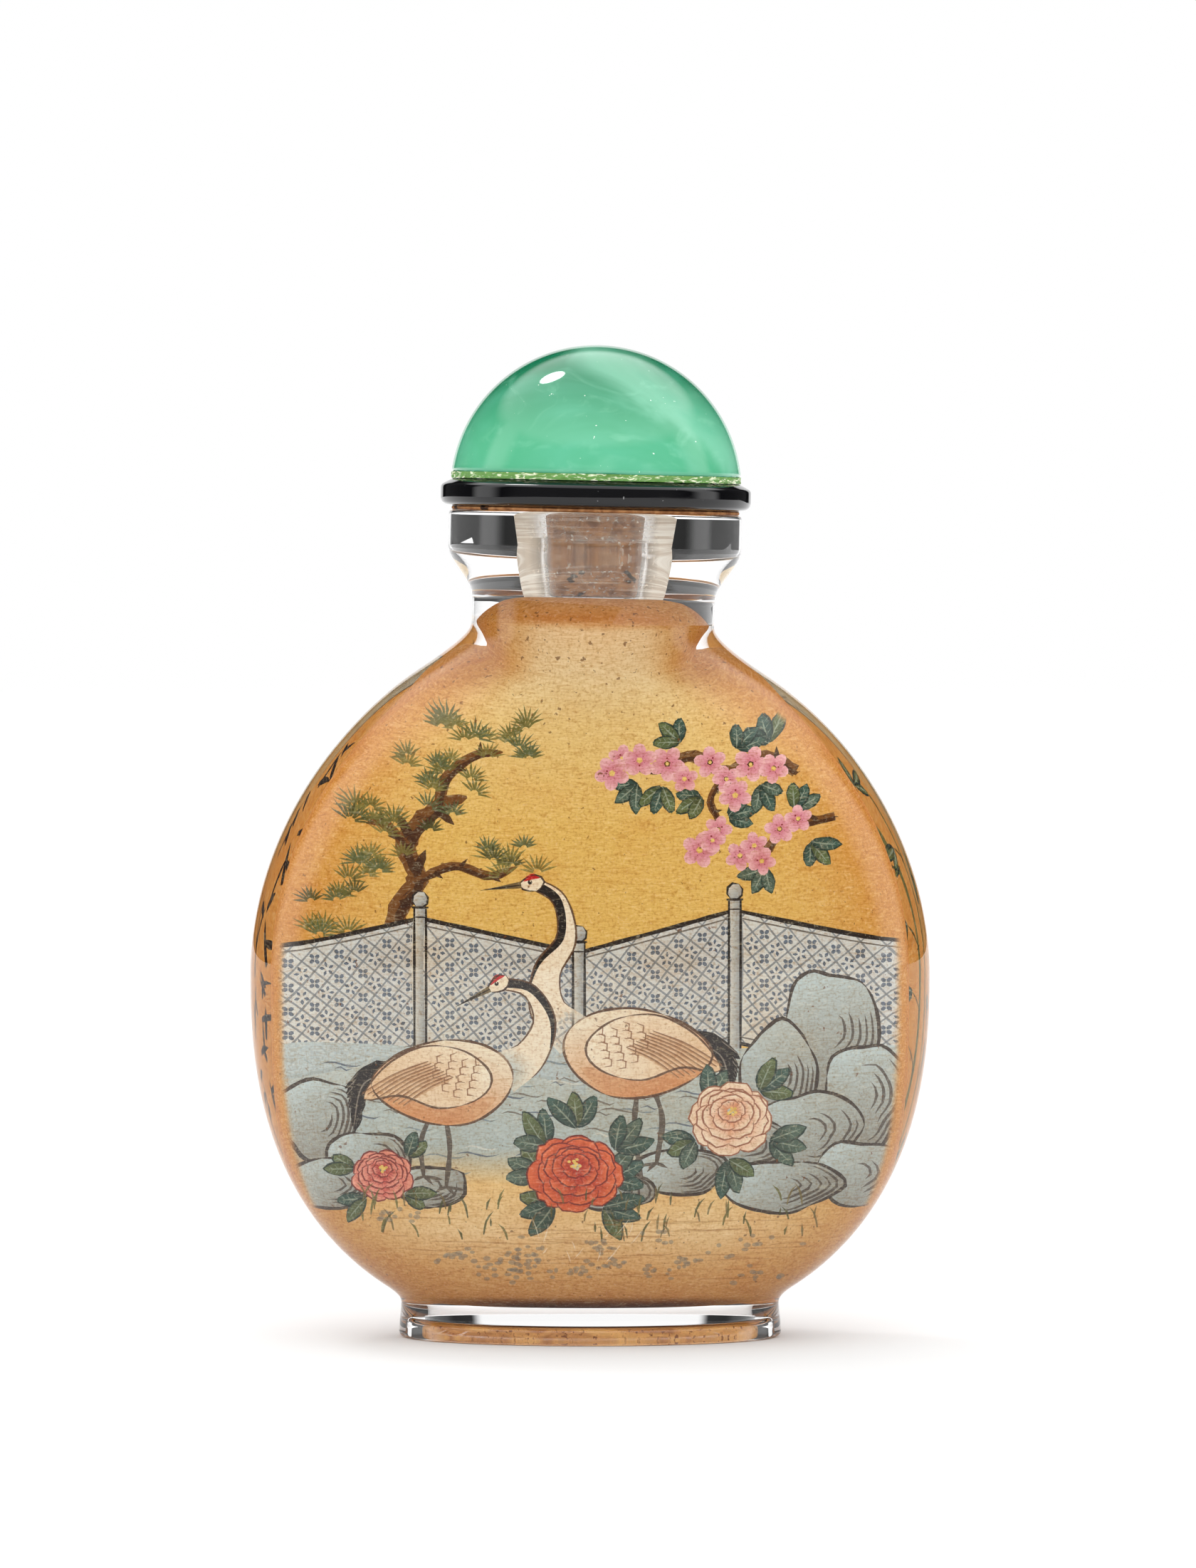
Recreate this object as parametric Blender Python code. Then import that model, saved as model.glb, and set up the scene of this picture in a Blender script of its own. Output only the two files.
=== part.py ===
"""A flattened clear glass snuff bottle, painted inside, with a green domed stopper.

The bottle stands on an oval foot ring, its broad faces looking along Y and its width along X.
The origin is the middle of the foot's underside. Every piece is built from level rings, lofted
from the bottom up, or is a sphere cut flat.
"""

import math
from itertools import pairwise

import bmesh
import bpy
import numpy as np
from mathutils import Matrix, Vector

MM = 0.001

# Facets around a piece, and along each stretch of the bottle's outline
AROUND = 48
CORK_AROUND = 32
DOME_LEVELS = 18
FOOT_LEVELS = 8
BELLY_LEVELS = 17
NECK_LEVELS = 12
CAVITY_LEVELS = 14
ROOF_LEVELS = 5
EDGE_LEVELS = 2

# Body: half-ovals above and below the widest level, each with its own exponent
BODY_WIDTH = 51.15 * MM
BODY_DEPTH = 25.0 * MM
BODY_RISE = 26.85 * MM
BODY_DROP = 27.2 * MM
BODY_ABOVE_TABLE = 0.2 * MM
RISE_EXPONENT = 1.9
DROP_EXPONENT = 2.41

# Foot ring
FOOT_WIDTH = 28.8 * MM
FOOT_DEPTH = 15.6 * MM
FOOT_WAIST_CUT = 0.2 * MM
FOOT_HEIGHT = 3.2 * MM
FOOT_FILLET = 1.1 * MM
FOOT_RING_WIDTH = 1.9 * MM
FOOT_RECESS = 1.25 * MM
FOOT_EDGE_ROUND = 0.45 * MM

# Neck and rim
NECK_DIAMETER = 18.2 * MM
NECK_LENGTH = 7.75 * MM
SHOULDER_FILLET = 3.9 * MM
RIM_DIAMETER = 22.0 * MM
RIM_BAND = 2.6 * MM
RIM_FLARE_HEIGHT = 3.9 * MM
RIM_EDGE_ROUND = 0.3 * MM
NECK_LEAN = math.radians(1.3)
LEAN_START_BELOW_RIM = 18.0 * MM
LEAN_FULL_BELOW_RIM = 7.0 * MM

# Bore and cavity
BORE_MOUTH_DIAMETER = 8.2 * MM
BORE_THROAT_DIAMETER = 6.9 * MM
BORE_LENGTH = 6.2 * MM
WALL_SIDE = 3.6 * MM
WALL_FACE = 4.1 * MM
WALL_NECK = 3.35 * MM
WALL_SHOULDER = 4.05 * MM
WALL_FLOOR = 1.35 * MM
CAVITY_SHOULDER_FILLET = 2.1 * MM
CAVITY_ROOF_RISE = 2.2 * MM
CAVITY_ROOF_EXPONENT = 1.3
CAVITY_RISE_EXPONENT = 2.0
CAVITY_DROP_EXPONENT = 3.4
CAVITY_FLOOR_SHARE = 0.35

# Stopper
PIECE_GAP = 0.3 * MM
COLLAR_DIAMETER = 23.3 * MM
COLLAR_THICKNESS = 2.05 * MM
COLLAR_TOP_SLOPE_WIDTH = 0.88 * MM
COLLAR_TOP_SLOPE_DROP = 0.48 * MM
COLLAR_UNDERCUT_WIDTH = 0.67 * MM
COLLAR_UNDERCUT_RISE = 0.46 * MM
DOME_RADIUS = 10.95 * MM
DOME_HEIGHT = 9.9 * MM
DOME_EDGE_ROUND = 0.5 * MM
CORK_LENGTH = 6.0 * MM
CORK_EDGE_ROUND = 0.4 * MM
CUT_TOLERANCE = 0.01 * MM

# Levels that follow from the sizes
BODY_MIDDLE = BODY_ABOVE_TABLE + BODY_DROP
BODY_TOP = BODY_MIDDLE + BODY_RISE
RIM_TOP = BODY_TOP + NECK_LENGTH
FLARE_START = RIM_TOP - RIM_BAND - RIM_FLARE_HEIGHT
BORE_FOOT = RIM_TOP - BORE_LENGTH
CAVITY_FLOOR = FOOT_RECESS + WALL_FLOOR
COLLAR_FOOT = RIM_TOP + PIECE_GAP
DOME_FOOT = COLLAR_FOOT + COLLAR_THICKNESS + PIECE_GAP


def smooth_step(share):
    """0 below 0, 1 above 1, and an S curve between them."""
    share = min(max(share, 0.0), 1.0)
    return share * share * (3 - 2 * share)


def smooth_max(first, second, fillet):
    """The larger of two sizes, with the corner between them rounded by a fillet."""
    share = min(max(0.5 + 0.5 * (first - second) / fillet, 0.0), 1.0)
    return second * (1 - share) + first * share + fillet * share * (1 - share)


def half_oval(height, half_size, reach, exponent):
    """Half a width at a height above or below an oval's middle; exponent 2 is an ellipse."""
    share = min(abs(height) / reach, 1.0)
    return half_size * (1 - share**exponent) ** (1 / exponent)


def outer_size(height, body, foot):
    """Half the bottle's width or depth at a height, from the same half size of the body and foot."""
    if height < BODY_MIDDLE:
        belly = half_oval(BODY_MIDDLE - height, body, BODY_DROP, DROP_EXPONENT)
        wall = foot - FOOT_WAIST_CUT * smooth_step(height / FOOT_HEIGHT)
        return smooth_max(belly, wall, FOOT_FILLET)
    belly = half_oval(height - BODY_MIDDLE, body, BODY_RISE, RISE_EXPONENT)
    flare = smooth_step((height - FLARE_START) / RIM_FLARE_HEIGHT)
    neck = NECK_DIAMETER / 2 + (RIM_DIAMETER - NECK_DIAMETER) / 2 * flare
    return smooth_max(belly, neck, SHOULDER_FILLET)


def cavity_size(height, body, wall):
    """Half the cavity's width or depth at a height, from the body's half size and its wall."""
    if height < BODY_MIDDLE:
        reach = BODY_MIDDLE - CAVITY_FLOOR
        return half_oval(BODY_MIDDLE - height, body - wall, reach, CAVITY_DROP_EXPONENT)
    reach = BODY_RISE - WALL_SHOULDER
    belly = half_oval(height - BODY_MIDDLE, body - wall, reach, CAVITY_RISE_EXPONENT)
    return smooth_max(belly, NECK_DIAMETER / 2 - WALL_NECK, CAVITY_SHOULDER_FILLET)


def bore_radius(height):
    """The bore narrows evenly from its mouth to its throat."""
    share = (RIM_TOP - height) / BORE_LENGTH
    return (BORE_MOUTH_DIAMETER + (BORE_THROAT_DIAMETER - BORE_MOUTH_DIAMETER) * share) / 2


def leaning(height):
    """The turn that the neck's lean gives a level: none at the shoulder, all of it from the waist up."""
    start = RIM_TOP - LEAN_START_BELOW_RIM
    share = smooth_step((height - start) / (LEAN_START_BELOW_RIM - LEAN_FULL_BELOW_RIM))
    pivot = Matrix.Translation((0, 0, start))
    return pivot @ Matrix.Rotation(NECK_LEAN * share, 4, "Y") @ pivot.inverted()


def ring(half_width, half_depth, height):
    """The placement that makes a unit circle into one level ring of a piece."""
    size = Matrix.Diagonal((half_width, half_depth, 1, 1))
    return leaning(height) @ Matrix.Translation((0, 0, height)) @ size


def quarter_round(start_radius, start_height, end_radius, end_height, levels, bulge_first):
    """Radius and height along a quarter of an ellipse between two corners, both ends included."""
    for angle in np.linspace(0, math.pi / 2, levels + 1):
        across, along = 1 - math.cos(angle), math.sin(angle)
        if not bulge_first:
            across, along = along, across
        radius = start_radius + (end_radius - start_radius) * across
        yield radius, start_height + (end_height - start_height) * along


def loft(name, rings, around, material):
    """A closed piece through its rings, flat at both ends."""
    bm = bmesh.new()
    bmesh.ops.create_circle(bm, cap_ends=True, segments=around, radius=1, matrix=rings[0])
    edges = bm.edges[:]
    for below, above in pairwise(rings):
        grown = bmesh.ops.extrude_edge_only(bm, edges=edges)["geom"]
        verts = [item for item in grown if isinstance(item, bmesh.types.BMVert)]
        edges = [item for item in grown if isinstance(item, bmesh.types.BMEdge)]
        bmesh.ops.transform(bm, matrix=above @ below.inverted(), verts=verts)
    bmesh.ops.contextual_create(bm, geom=edges)
    bmesh.ops.recalc_face_normals(bm, faces=bm.faces[:])
    return finish_piece(name, bm, material)


def finish_piece(name, bm, material):
    """An object from a bmesh, shaded smooth but for its real corners."""
    mesh = bpy.data.meshes.new(name)
    bm.to_mesh(mesh)
    bm.free()
    mesh.materials.append(material)
    mesh.shade_smooth()
    mesh.set_sharp_from_angle(angle=math.radians(40))
    piece = bpy.data.objects.new(name, mesh)
    bpy.context.scene.collection.objects.link(piece)
    return piece


def plain_material(name, colour, roughness, transmission=0.0):
    """A Principled material with the piece's colour and polish."""
    material = bpy.data.materials.new(name)
    material.use_nodes = True
    shader = material.node_tree.nodes["Principled BSDF"]
    shader.inputs["Base Color"].default_value = (*colour, 1)
    shader.inputs["Roughness"].default_value = roughness
    shader.inputs["Metallic"].default_value = 0
    shader.inputs["Transmission Weight"].default_value = transmission
    return material


def foot_rings():
    """From the recess under the foot, over the foot ring's flat edge, to its outer corner."""
    half_width, half_depth = FOOT_WIDTH / 2, FOOT_DEPTH / 2
    inset = FOOT_RING_WIDTH
    yield ring(half_width - inset, half_depth - inset, FOOT_RECESS)
    yield ring(half_width - inset, half_depth - inset, 0)
    corner = quarter_round(FOOT_EDGE_ROUND, 0, 0, FOOT_EDGE_ROUND, EDGE_LEVELS, False)
    for inset, height in corner:
        wall = outer_size(height, BODY_WIDTH / 2, half_width)
        yield ring(wall - inset, outer_size(height, BODY_DEPTH / 2, half_depth) - inset, height)


def outer_rings():
    """The outside, from the foot's corner to the rim's."""
    belly_foot = FOOT_HEIGHT + 2 * FOOT_FILLET
    belly_head = RIM_TOP - LEAN_START_BELOW_RIM
    # Levels crowd towards the foot and the shoulder, where the outline turns most
    turn = (1 - np.cos(np.linspace(0, math.pi, BELLY_LEVELS + 1))) / 2
    heights = [
        *np.linspace(FOOT_EDGE_ROUND, belly_foot, FOOT_LEVELS + 1)[1:-1],
        *(belly_foot + (belly_head - belly_foot) * turn),
        *np.linspace(belly_head, RIM_TOP - RIM_BAND, NECK_LEVELS + 1)[1:],
    ]
    for height in heights:
        half_width = outer_size(height, BODY_WIDTH / 2, FOOT_WIDTH / 2)
        yield ring(half_width, outer_size(height, BODY_DEPTH / 2, FOOT_DEPTH / 2), height)


def rim_rings():
    """Over the rim's rounded outer edge, its flat top and the mouth's rounded edge."""
    low, radius = RIM_TOP - RIM_EDGE_ROUND, RIM_DIAMETER / 2
    mouth = bore_radius(low)
    for radius, height in quarter_round(radius, low, radius - RIM_EDGE_ROUND, RIM_TOP, EDGE_LEVELS, True):
        yield ring(radius, radius, height)
    for radius, height in quarter_round(mouth + RIM_EDGE_ROUND, RIM_TOP, mouth, low, EDGE_LEVELS, False):
        yield ring(radius, radius, height)


def cavity_rings():
    """Down the bore, out under the cavity's roof and down its wall to the floor."""
    roof_foot = BORE_FOOT - CAVITY_ROOF_RISE
    throat, neck = BORE_THROAT_DIAMETER / 2, cavity_size(roof_foot, BODY_WIDTH / 2, WALL_SIDE)
    for height in np.linspace(BORE_FOOT, roof_foot, ROOF_LEVELS + 1):
        spread = half_oval(height - roof_foot, neck - throat, CAVITY_ROOF_RISE, CAVITY_ROOF_EXPONENT)
        yield ring(throat + spread, throat + spread, height)
    shoulder_foot = BODY_MIDDLE + BODY_RISE / 2
    turn = np.linspace(0, math.pi / 2, CAVITY_LEVELS + 1)[1:]
    reach = BODY_MIDDLE - CAVITY_FLOOR
    last = 1 - CAVITY_FLOOR_SHARE**CAVITY_DROP_EXPONENT
    heights = [
        *np.linspace(roof_foot, shoulder_foot, ROOF_LEVELS * 2)[1:],
        *(shoulder_foot - (shoulder_foot - BODY_MIDDLE) * np.linspace(0, 1, 4)[1:]),
        *(BODY_MIDDLE - reach * last ** (1 / CAVITY_DROP_EXPONENT) * np.sin(turn)),
    ]
    for height in heights:
        half_width = cavity_size(height, BODY_WIDTH / 2, WALL_SIDE)
        yield ring(half_width, cavity_size(height, BODY_DEPTH / 2, WALL_FACE), height)


def build_bottle():
    """The glass: outside, rim, bore and cavity in one closed surface."""
    glass = plain_material("clear_glass", (0.93, 0.95, 0.94), 0.02, transmission=1.0)
    rings = [*foot_rings(), *outer_rings(), *rim_rings(), *cavity_rings()]
    return loft("bottle", rings, AROUND, glass)


def build_cork():
    """The tapered plug, which stops just under the collar and clears the bore all round."""
    cork = plain_material("cork", (0.42, 0.27, 0.15), 0.85)
    top, foot = RIM_TOP, RIM_TOP - CORK_LENGTH
    rings = []
    for height, inset in (
        (foot, CORK_EDGE_ROUND),
        (foot + CORK_EDGE_ROUND, 0),
        (top - RIM_EDGE_ROUND, 0),
        (top, 0),
    ):
        radius = bore_radius(height) - PIECE_GAP - inset
        rings.append(ring(radius, radius, height))
    return loft("stopper_cork", rings, CORK_AROUND, cork)


def build_collar():
    """The black disc: undercut below, upright wall, sloped upper edge, flat top."""
    black = plain_material("black_glass", (0.012, 0.012, 0.02), 0.06)
    radius, top = COLLAR_DIAMETER / 2, COLLAR_FOOT + COLLAR_THICKNESS
    undercut = quarter_round(
        radius - COLLAR_UNDERCUT_WIDTH, COLLAR_FOOT, radius, COLLAR_FOOT + COLLAR_UNDERCUT_RISE, 3, False
    )
    profile = [
        *undercut,
        (radius, top - COLLAR_TOP_SLOPE_DROP),
        (radius - COLLAR_TOP_SLOPE_WIDTH, top),
    ]
    rings = [ring(size, size, height) for size, height in profile]
    return loft("stopper_collar", rings, AROUND, black)


def build_dome():
    """The cabochon: a sphere cut flat above its middle, with the cut's edge rounded."""
    green = plain_material("green_glass", (0.1, 0.5, 0.25), 0.08)
    bm = bmesh.new()
    centre = Vector((0, 0, DOME_FOOT + DOME_HEIGHT - DOME_RADIUS))
    bmesh.ops.create_uvsphere(
        bm,
        u_segments=AROUND,
        v_segments=DOME_LEVELS,
        radius=DOME_RADIUS,
        matrix=leaning(RIM_TOP) @ Matrix.Translation(centre),
    )
    upright = leaning(RIM_TOP)
    cut = bmesh.ops.bisect_plane(
        bm,
        geom=bm.verts[:] + bm.edges[:] + bm.faces[:],
        dist=CUT_TOLERANCE,
        plane_co=upright @ Vector((0, 0, DOME_FOOT)),
        plane_no=upright.to_3x3() @ Vector((0, 0, 1)),
        clear_inner=True,
    )["geom_cut"]
    edge = [item for item in cut if isinstance(item, bmesh.types.BMEdge)]
    bmesh.ops.contextual_create(bm, geom=edge)
    bmesh.ops.bevel(
        bm, geom=edge, offset=DOME_EDGE_ROUND, segments=3, profile=0.5, affect="EDGES", material=-1
    )
    bmesh.ops.recalc_face_normals(bm, faces=bm.faces[:])
    return finish_piece("stopper_dome", bm, green)


def build():
    """Clear the scene and make every piece."""
    for old in list(bpy.data.objects):
        bpy.data.objects.remove(old, do_unlink=True)
    build_bottle()
    build_cork()
    build_collar()
    build_dome()


build()
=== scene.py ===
"""The looks of a clear glass snuff bottle, painted on the inside, with a green domed stopper."""

import math
import random
from itertools import pairwise

import bmesh
import bpy
import numpy as np
from mathutils import Matrix, Vector, noise
from mathutils.geometry import delaunay_2d_cdt


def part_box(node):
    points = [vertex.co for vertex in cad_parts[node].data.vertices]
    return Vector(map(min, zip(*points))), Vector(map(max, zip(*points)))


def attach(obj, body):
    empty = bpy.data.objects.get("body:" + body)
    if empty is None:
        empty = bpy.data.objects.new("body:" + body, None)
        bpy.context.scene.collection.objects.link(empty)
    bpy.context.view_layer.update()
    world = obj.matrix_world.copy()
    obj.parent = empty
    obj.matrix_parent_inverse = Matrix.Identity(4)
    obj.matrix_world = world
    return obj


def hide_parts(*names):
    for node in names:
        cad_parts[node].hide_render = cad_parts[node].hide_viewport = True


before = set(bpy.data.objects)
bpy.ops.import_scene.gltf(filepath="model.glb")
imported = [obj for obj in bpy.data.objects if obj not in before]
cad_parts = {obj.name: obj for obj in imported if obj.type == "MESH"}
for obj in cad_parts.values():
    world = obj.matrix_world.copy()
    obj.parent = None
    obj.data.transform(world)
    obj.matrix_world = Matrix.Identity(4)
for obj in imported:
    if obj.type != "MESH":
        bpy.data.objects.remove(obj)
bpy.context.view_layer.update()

# The bottle: one body of clear glass, blown thick, ground inside through its narrow mouth and
# polished outside. It stands on an oval foot ring, and its neck leans a little to one side.
MM = 0.001
low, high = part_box("bottle")
BODY_WIDTH = high.x - low.x
BODY_DEPTH = high.y - low.y
BODY_RISE = 26.85 * MM
BODY_DROP = 27.2 * MM
BODY_ABOVE_TABLE = 0.2 * MM
RISE_EXPONENT = 1.9
DROP_EXPONENT = 2.41
FOOT_WIDTH = 28.8 * MM
FOOT_DEPTH = 15.6 * MM
FOOT_WAIST_CUT = 0.2 * MM
FOOT_HEIGHT = 3.2 * MM
FOOT_FILLET = 1.1 * MM
FOOT_RING_WIDTH = 1.9 * MM
FOOT_RECESS = 1.25 * MM
FOOT_EDGE_ROUND = 0.45 * MM
NECK_DIAMETER = 18.2 * MM
NECK_LENGTH = 7.75 * MM
SHOULDER_FILLET = 3.9 * MM
RIM_DIAMETER = 22.0 * MM
RIM_BAND = 2.6 * MM
RIM_FLARE_HEIGHT = 3.9 * MM
RIM_EDGE_ROUND = 0.3 * MM
NECK_LEAN = math.radians(1.3)
LEAN_START_BELOW_RIM = 18.0 * MM
LEAN_FULL_BELOW_RIM = 7.0 * MM
BORE_MOUTH_DIAMETER = 8.2 * MM
BORE_THROAT_DIAMETER = 6.9 * MM
BORE_LENGTH = 6.2 * MM
WALL_SIDE = 3.6 * MM
WALL_FACE = 4.1 * MM
WALL_NECK = 3.35 * MM
WALL_SHOULDER = 4.05 * MM
WALL_FLOOR = 1.35 * MM
CAVITY_SHOULDER_FILLET = 2.1 * MM
CAVITY_ROOF_RISE = 2.2 * MM
CAVITY_ROOF_EXPONENT = 1.3
CAVITY_RISE_EXPONENT = 2.0
CAVITY_DROP_EXPONENT = 3.4
CAVITY_FLOOR_SHARE = 0.12

BODY_MIDDLE = BODY_ABOVE_TABLE + BODY_DROP
RIM_TOP = BODY_MIDDLE + BODY_RISE + NECK_LENGTH
FLARE_START = RIM_TOP - RIM_BAND - RIM_FLARE_HEIGHT
BORE_FOOT = RIM_TOP - BORE_LENGTH
CAVITY_FLOOR = FOOT_RECESS + WALL_FLOOR
CAVITY_ROOF = BORE_FOOT - CAVITY_ROOF_RISE
RIM_STRAIGHT = RIM_BAND - RIM_EDGE_ROUND


def smooth_step(share):
    """0 below 0, 1 above 1, and an S curve between them."""
    share = np.clip(share, 0.0, 1.0)
    return share * share * (3 - 2 * share)


def smooth_max(first, second, fillet):
    """The larger of two sizes, with the corner between them rounded by a fillet."""
    share = np.clip(0.5 + 0.5 * (first - second) / fillet, 0.0, 1.0)
    return second * (1 - share) + first * share + fillet * share * (1 - share)


def half_oval(height, half_size, reach, exponent):
    """Half a width at a height above or below an oval's middle; exponent 2 is an ellipse."""
    share = np.clip(np.abs(height) / reach, 0.0, 1.0)
    return half_size * (1 - share**exponent) ** (1 / exponent)


def outer_size(height, body, foot):
    """Half the bottle's width or depth at a height, from the same half size of the body and foot."""
    if height < BODY_MIDDLE:
        belly = half_oval(BODY_MIDDLE - height, body, BODY_DROP, DROP_EXPONENT)
        wall = foot - FOOT_WAIST_CUT * smooth_step(height / FOOT_HEIGHT)
        return smooth_max(belly, wall, FOOT_FILLET)
    belly = half_oval(height - BODY_MIDDLE, body, BODY_RISE, RISE_EXPONENT)
    flare = smooth_step((height - FLARE_START) / RIM_FLARE_HEIGHT)
    neck = NECK_DIAMETER / 2 + (RIM_DIAMETER - NECK_DIAMETER) / 2 * flare
    return smooth_max(belly, neck, SHOULDER_FILLET)


def cavity_size(height, body, wall):
    """Half the cavity's width or depth at heights, from the body's half size and its wall."""
    reach = BODY_MIDDLE - CAVITY_FLOOR
    lower = half_oval(BODY_MIDDLE - height, body - wall, reach, CAVITY_DROP_EXPONENT)
    belly = half_oval(height - BODY_MIDDLE, body - wall, BODY_RISE - WALL_SHOULDER, CAVITY_RISE_EXPONENT)
    upper = smooth_max(belly, NECK_DIAMETER / 2 - WALL_NECK, CAVITY_SHOULDER_FILLET)
    return np.where(height < BODY_MIDDLE, lower, upper)


def bore_radius(height):
    """The bore narrows evenly from its mouth to its throat."""
    share = (RIM_TOP - height) / BORE_LENGTH
    return (BORE_MOUTH_DIAMETER + (BORE_THROAT_DIAMETER - BORE_MOUTH_DIAMETER) * share) / 2


def lean_angle(height):
    """The neck's lean at a height: none at the shoulder, all of it from the waist up."""
    start = RIM_TOP - LEAN_START_BELOW_RIM
    return NECK_LEAN * smooth_step((height - start) / (LEAN_START_BELOW_RIM - LEAN_FULL_BELOW_RIM))


def leaning(height):
    """The turn that the neck's lean gives a level."""
    pivot = Matrix.Translation((0, 0, RIM_TOP - LEAN_START_BELOW_RIM))
    return pivot @ Matrix.Rotation(lean_angle(height), 4, "Y") @ pivot.inverted()


def ring(half_width, half_depth, height):
    """The placement that makes a unit circle into one level ring of a piece."""
    size = Matrix.Diagonal((half_width, half_depth, 1, 1))
    return leaning(height) @ Matrix.Translation((0, 0, height)) @ size


def quarter_round(start_radius, start_height, end_radius, end_height, levels, bulge_first):
    """Radius and height along a quarter of an ellipse between two corners, both ends included."""
    for angle in np.linspace(0, math.pi / 2, levels + 1):
        across, along = 1 - math.cos(angle), math.sin(angle)
        if not bulge_first:
            across, along = along, across
        radius = start_radius + (end_radius - start_radius) * across
        yield radius, start_height + (end_height - start_height) * along


def loft(rings, around, capped=True):
    """A bmesh through rings, closed flat at both ends if it is capped."""
    bm = bmesh.new()
    bmesh.ops.create_circle(bm, cap_ends=capped, segments=around, radius=1, matrix=rings[0])
    edges = bm.edges[:]
    for below, above in pairwise(rings):
        grown = bmesh.ops.extrude_edge_only(bm, edges=edges)["geom"]
        verts = [item for item in grown if isinstance(item, bmesh.types.BMVert)]
        edges = [item for item in grown if isinstance(item, bmesh.types.BMEdge)]
        bmesh.ops.transform(bm, matrix=above @ below.inverted(), verts=verts)
    if capped:
        bmesh.ops.contextual_create(bm, geom=edges)
    bmesh.ops.recalc_face_normals(bm, faces=bm.faces[:])
    return bm


def as_piece(name, bm, material, sharp=40):
    """A finished object from a bmesh, shaded smooth but for real corners."""
    mesh = bpy.data.meshes.new(name)
    bm.to_mesh(mesh)
    bm.free()
    mesh.materials.append(material)
    mesh.shade_smooth()
    mesh.set_sharp_from_angle(angle=math.radians(sharp))
    piece = bpy.data.objects.new(name, mesh)
    bpy.context.scene.collection.objects.link(piece)
    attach(piece, "root")
    return piece


class Field:
    """A value that varies over a surface; arithmetic on fields adds Math nodes."""

    def __init__(self, finish, socket):
        self.finish = finish
        self.socket = socket

    def maths(self, operation, *others):
        """One Math node with this field first."""
        values = dict(enumerate((self, *others)))
        return self.finish.node("Math", {"operation": operation}, values)

    def __add__(self, other):
        return self.maths("ADD", other)

    __radd__ = __add__

    def __mul__(self, other):
        return self.maths("MULTIPLY", other)

    __rmul__ = __mul__

    def __sub__(self, other):
        return self.maths("SUBTRACT", other)

    def __rsub__(self, other):
        return (self * -1) + other

    def step(self, start, end):
        """0 up to start, 1 from end, and an S curve between; start may be above end."""
        values = {"Value": self, "From Min": start, "From Max": end}
        return self.finish.node("MapRange", {"interpolation_type": "SMOOTHSTEP"}, values)


class Finish:
    """A Principled material and the nodes that vary it."""

    def __init__(self, name, **constants):
        self.material = bpy.data.materials.new(name)
        self.material.use_nodes = True
        self.tree = self.material.node_tree
        self.shader = self.tree.nodes["Principled BSDF"]
        for socket, value in constants.items():
            self.shader.inputs[socket.replace("_", " ")].default_value = value

    def node(self, kind, settings, values, output=0):
        """A node of a type, with its settings made first, then its sockets' values or links."""
        made = self.tree.nodes.new("ShaderNode" + kind)
        for setting, value in settings.items():
            setattr(made, setting, value)
        for socket, value in values.items():
            self.link(made.inputs[socket], value)
        return Field(self, made.outputs[output])

    def link(self, socket, value):
        """Gives a socket a field or a plain value."""
        if isinstance(value, Field):
            self.tree.links.new(value.socket, socket)
        else:
            socket.default_value = value

    def place(self):
        """Object coordinates, as a vector."""
        return self.node("TexCoord", {}, {}, "Object")

    def scaled(self, vector, scale):
        """A vector stretched along its axes, in cycles to the metre."""
        return self.node("Mapping", {}, {"Vector": vector, "Scale": scale})

    def noise(self, vector, scale, detail=2.0, distortion=0.0):
        """Cloudy noise from 0 to 1."""
        values = {"Vector": self.scaled(vector, scale), "Scale": 1.0, "Detail": detail}
        return self.node("TexNoise", {}, {**values, "Distortion": distortion})

    def mix(self, factor, first, second, blend="MIX"):
        """Two colours mixed."""
        return self.node("Mix", {"data_type": "RGBA", "blend_type": blend},
                         {0: factor, 6: first, 7: second}, 2)

    def wear(self, **fields):
        """Links varying fields to the shader's sockets."""
        for socket, value in fields.items():
            self.link(self.shader.inputs[socket.replace("_", " ")], value)

    def bump(self, height, distance, strength=1.0):
        """A Bump node into Normal."""
        values = {"Height": height, "Distance": distance, "Strength": strength}
        self.wear(Normal=self.node("Bump", {}, values))


def colour(red, green, blue):
    """A colour read off in ordinary screen values, as the shader's linear one."""
    return (*((v / 12.92 if v <= 0.04045 else ((v + 0.055) / 1.055) ** 2.4)
              for v in (red / 255, green / 255, blue / 255)), 1.0)


GLASS_AROUND = 144
EDGE_LEVELS = 4


def foot_rings():
    """Over the recess in the foot, round its flat underside and up its outer edge."""
    half_width, half_depth = FOOT_WIDTH / 2, FOOT_DEPTH / 2
    inner_width, inner_depth = half_width - FOOT_RING_WIDTH, half_depth - FOOT_RING_WIDTH
    for share in (0.3, 0.6, 0.85):
        yield ring(inner_width * share, inner_depth * share, FOOT_RECESS)
    for inset, height in quarter_round(FOOT_EDGE_ROUND, FOOT_RECESS, 0, FOOT_RECESS - FOOT_EDGE_ROUND,
                                       EDGE_LEVELS, False):
        yield ring(inner_width - inset, inner_depth - inset, height)
    for inset, height in quarter_round(0, 0.1 * MM, -0.1 * MM, 0, 2, True):
        yield ring(inner_width - inset, inner_depth - inset, height)
    for inset, height in quarter_round(FOOT_EDGE_ROUND, 0, 0, FOOT_EDGE_ROUND, EDGE_LEVELS, False):
        wall = outer_size(height, BODY_WIDTH / 2, half_width)
        yield ring(wall - inset, outer_size(height, BODY_DEPTH / 2, half_depth) - inset, height)


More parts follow.
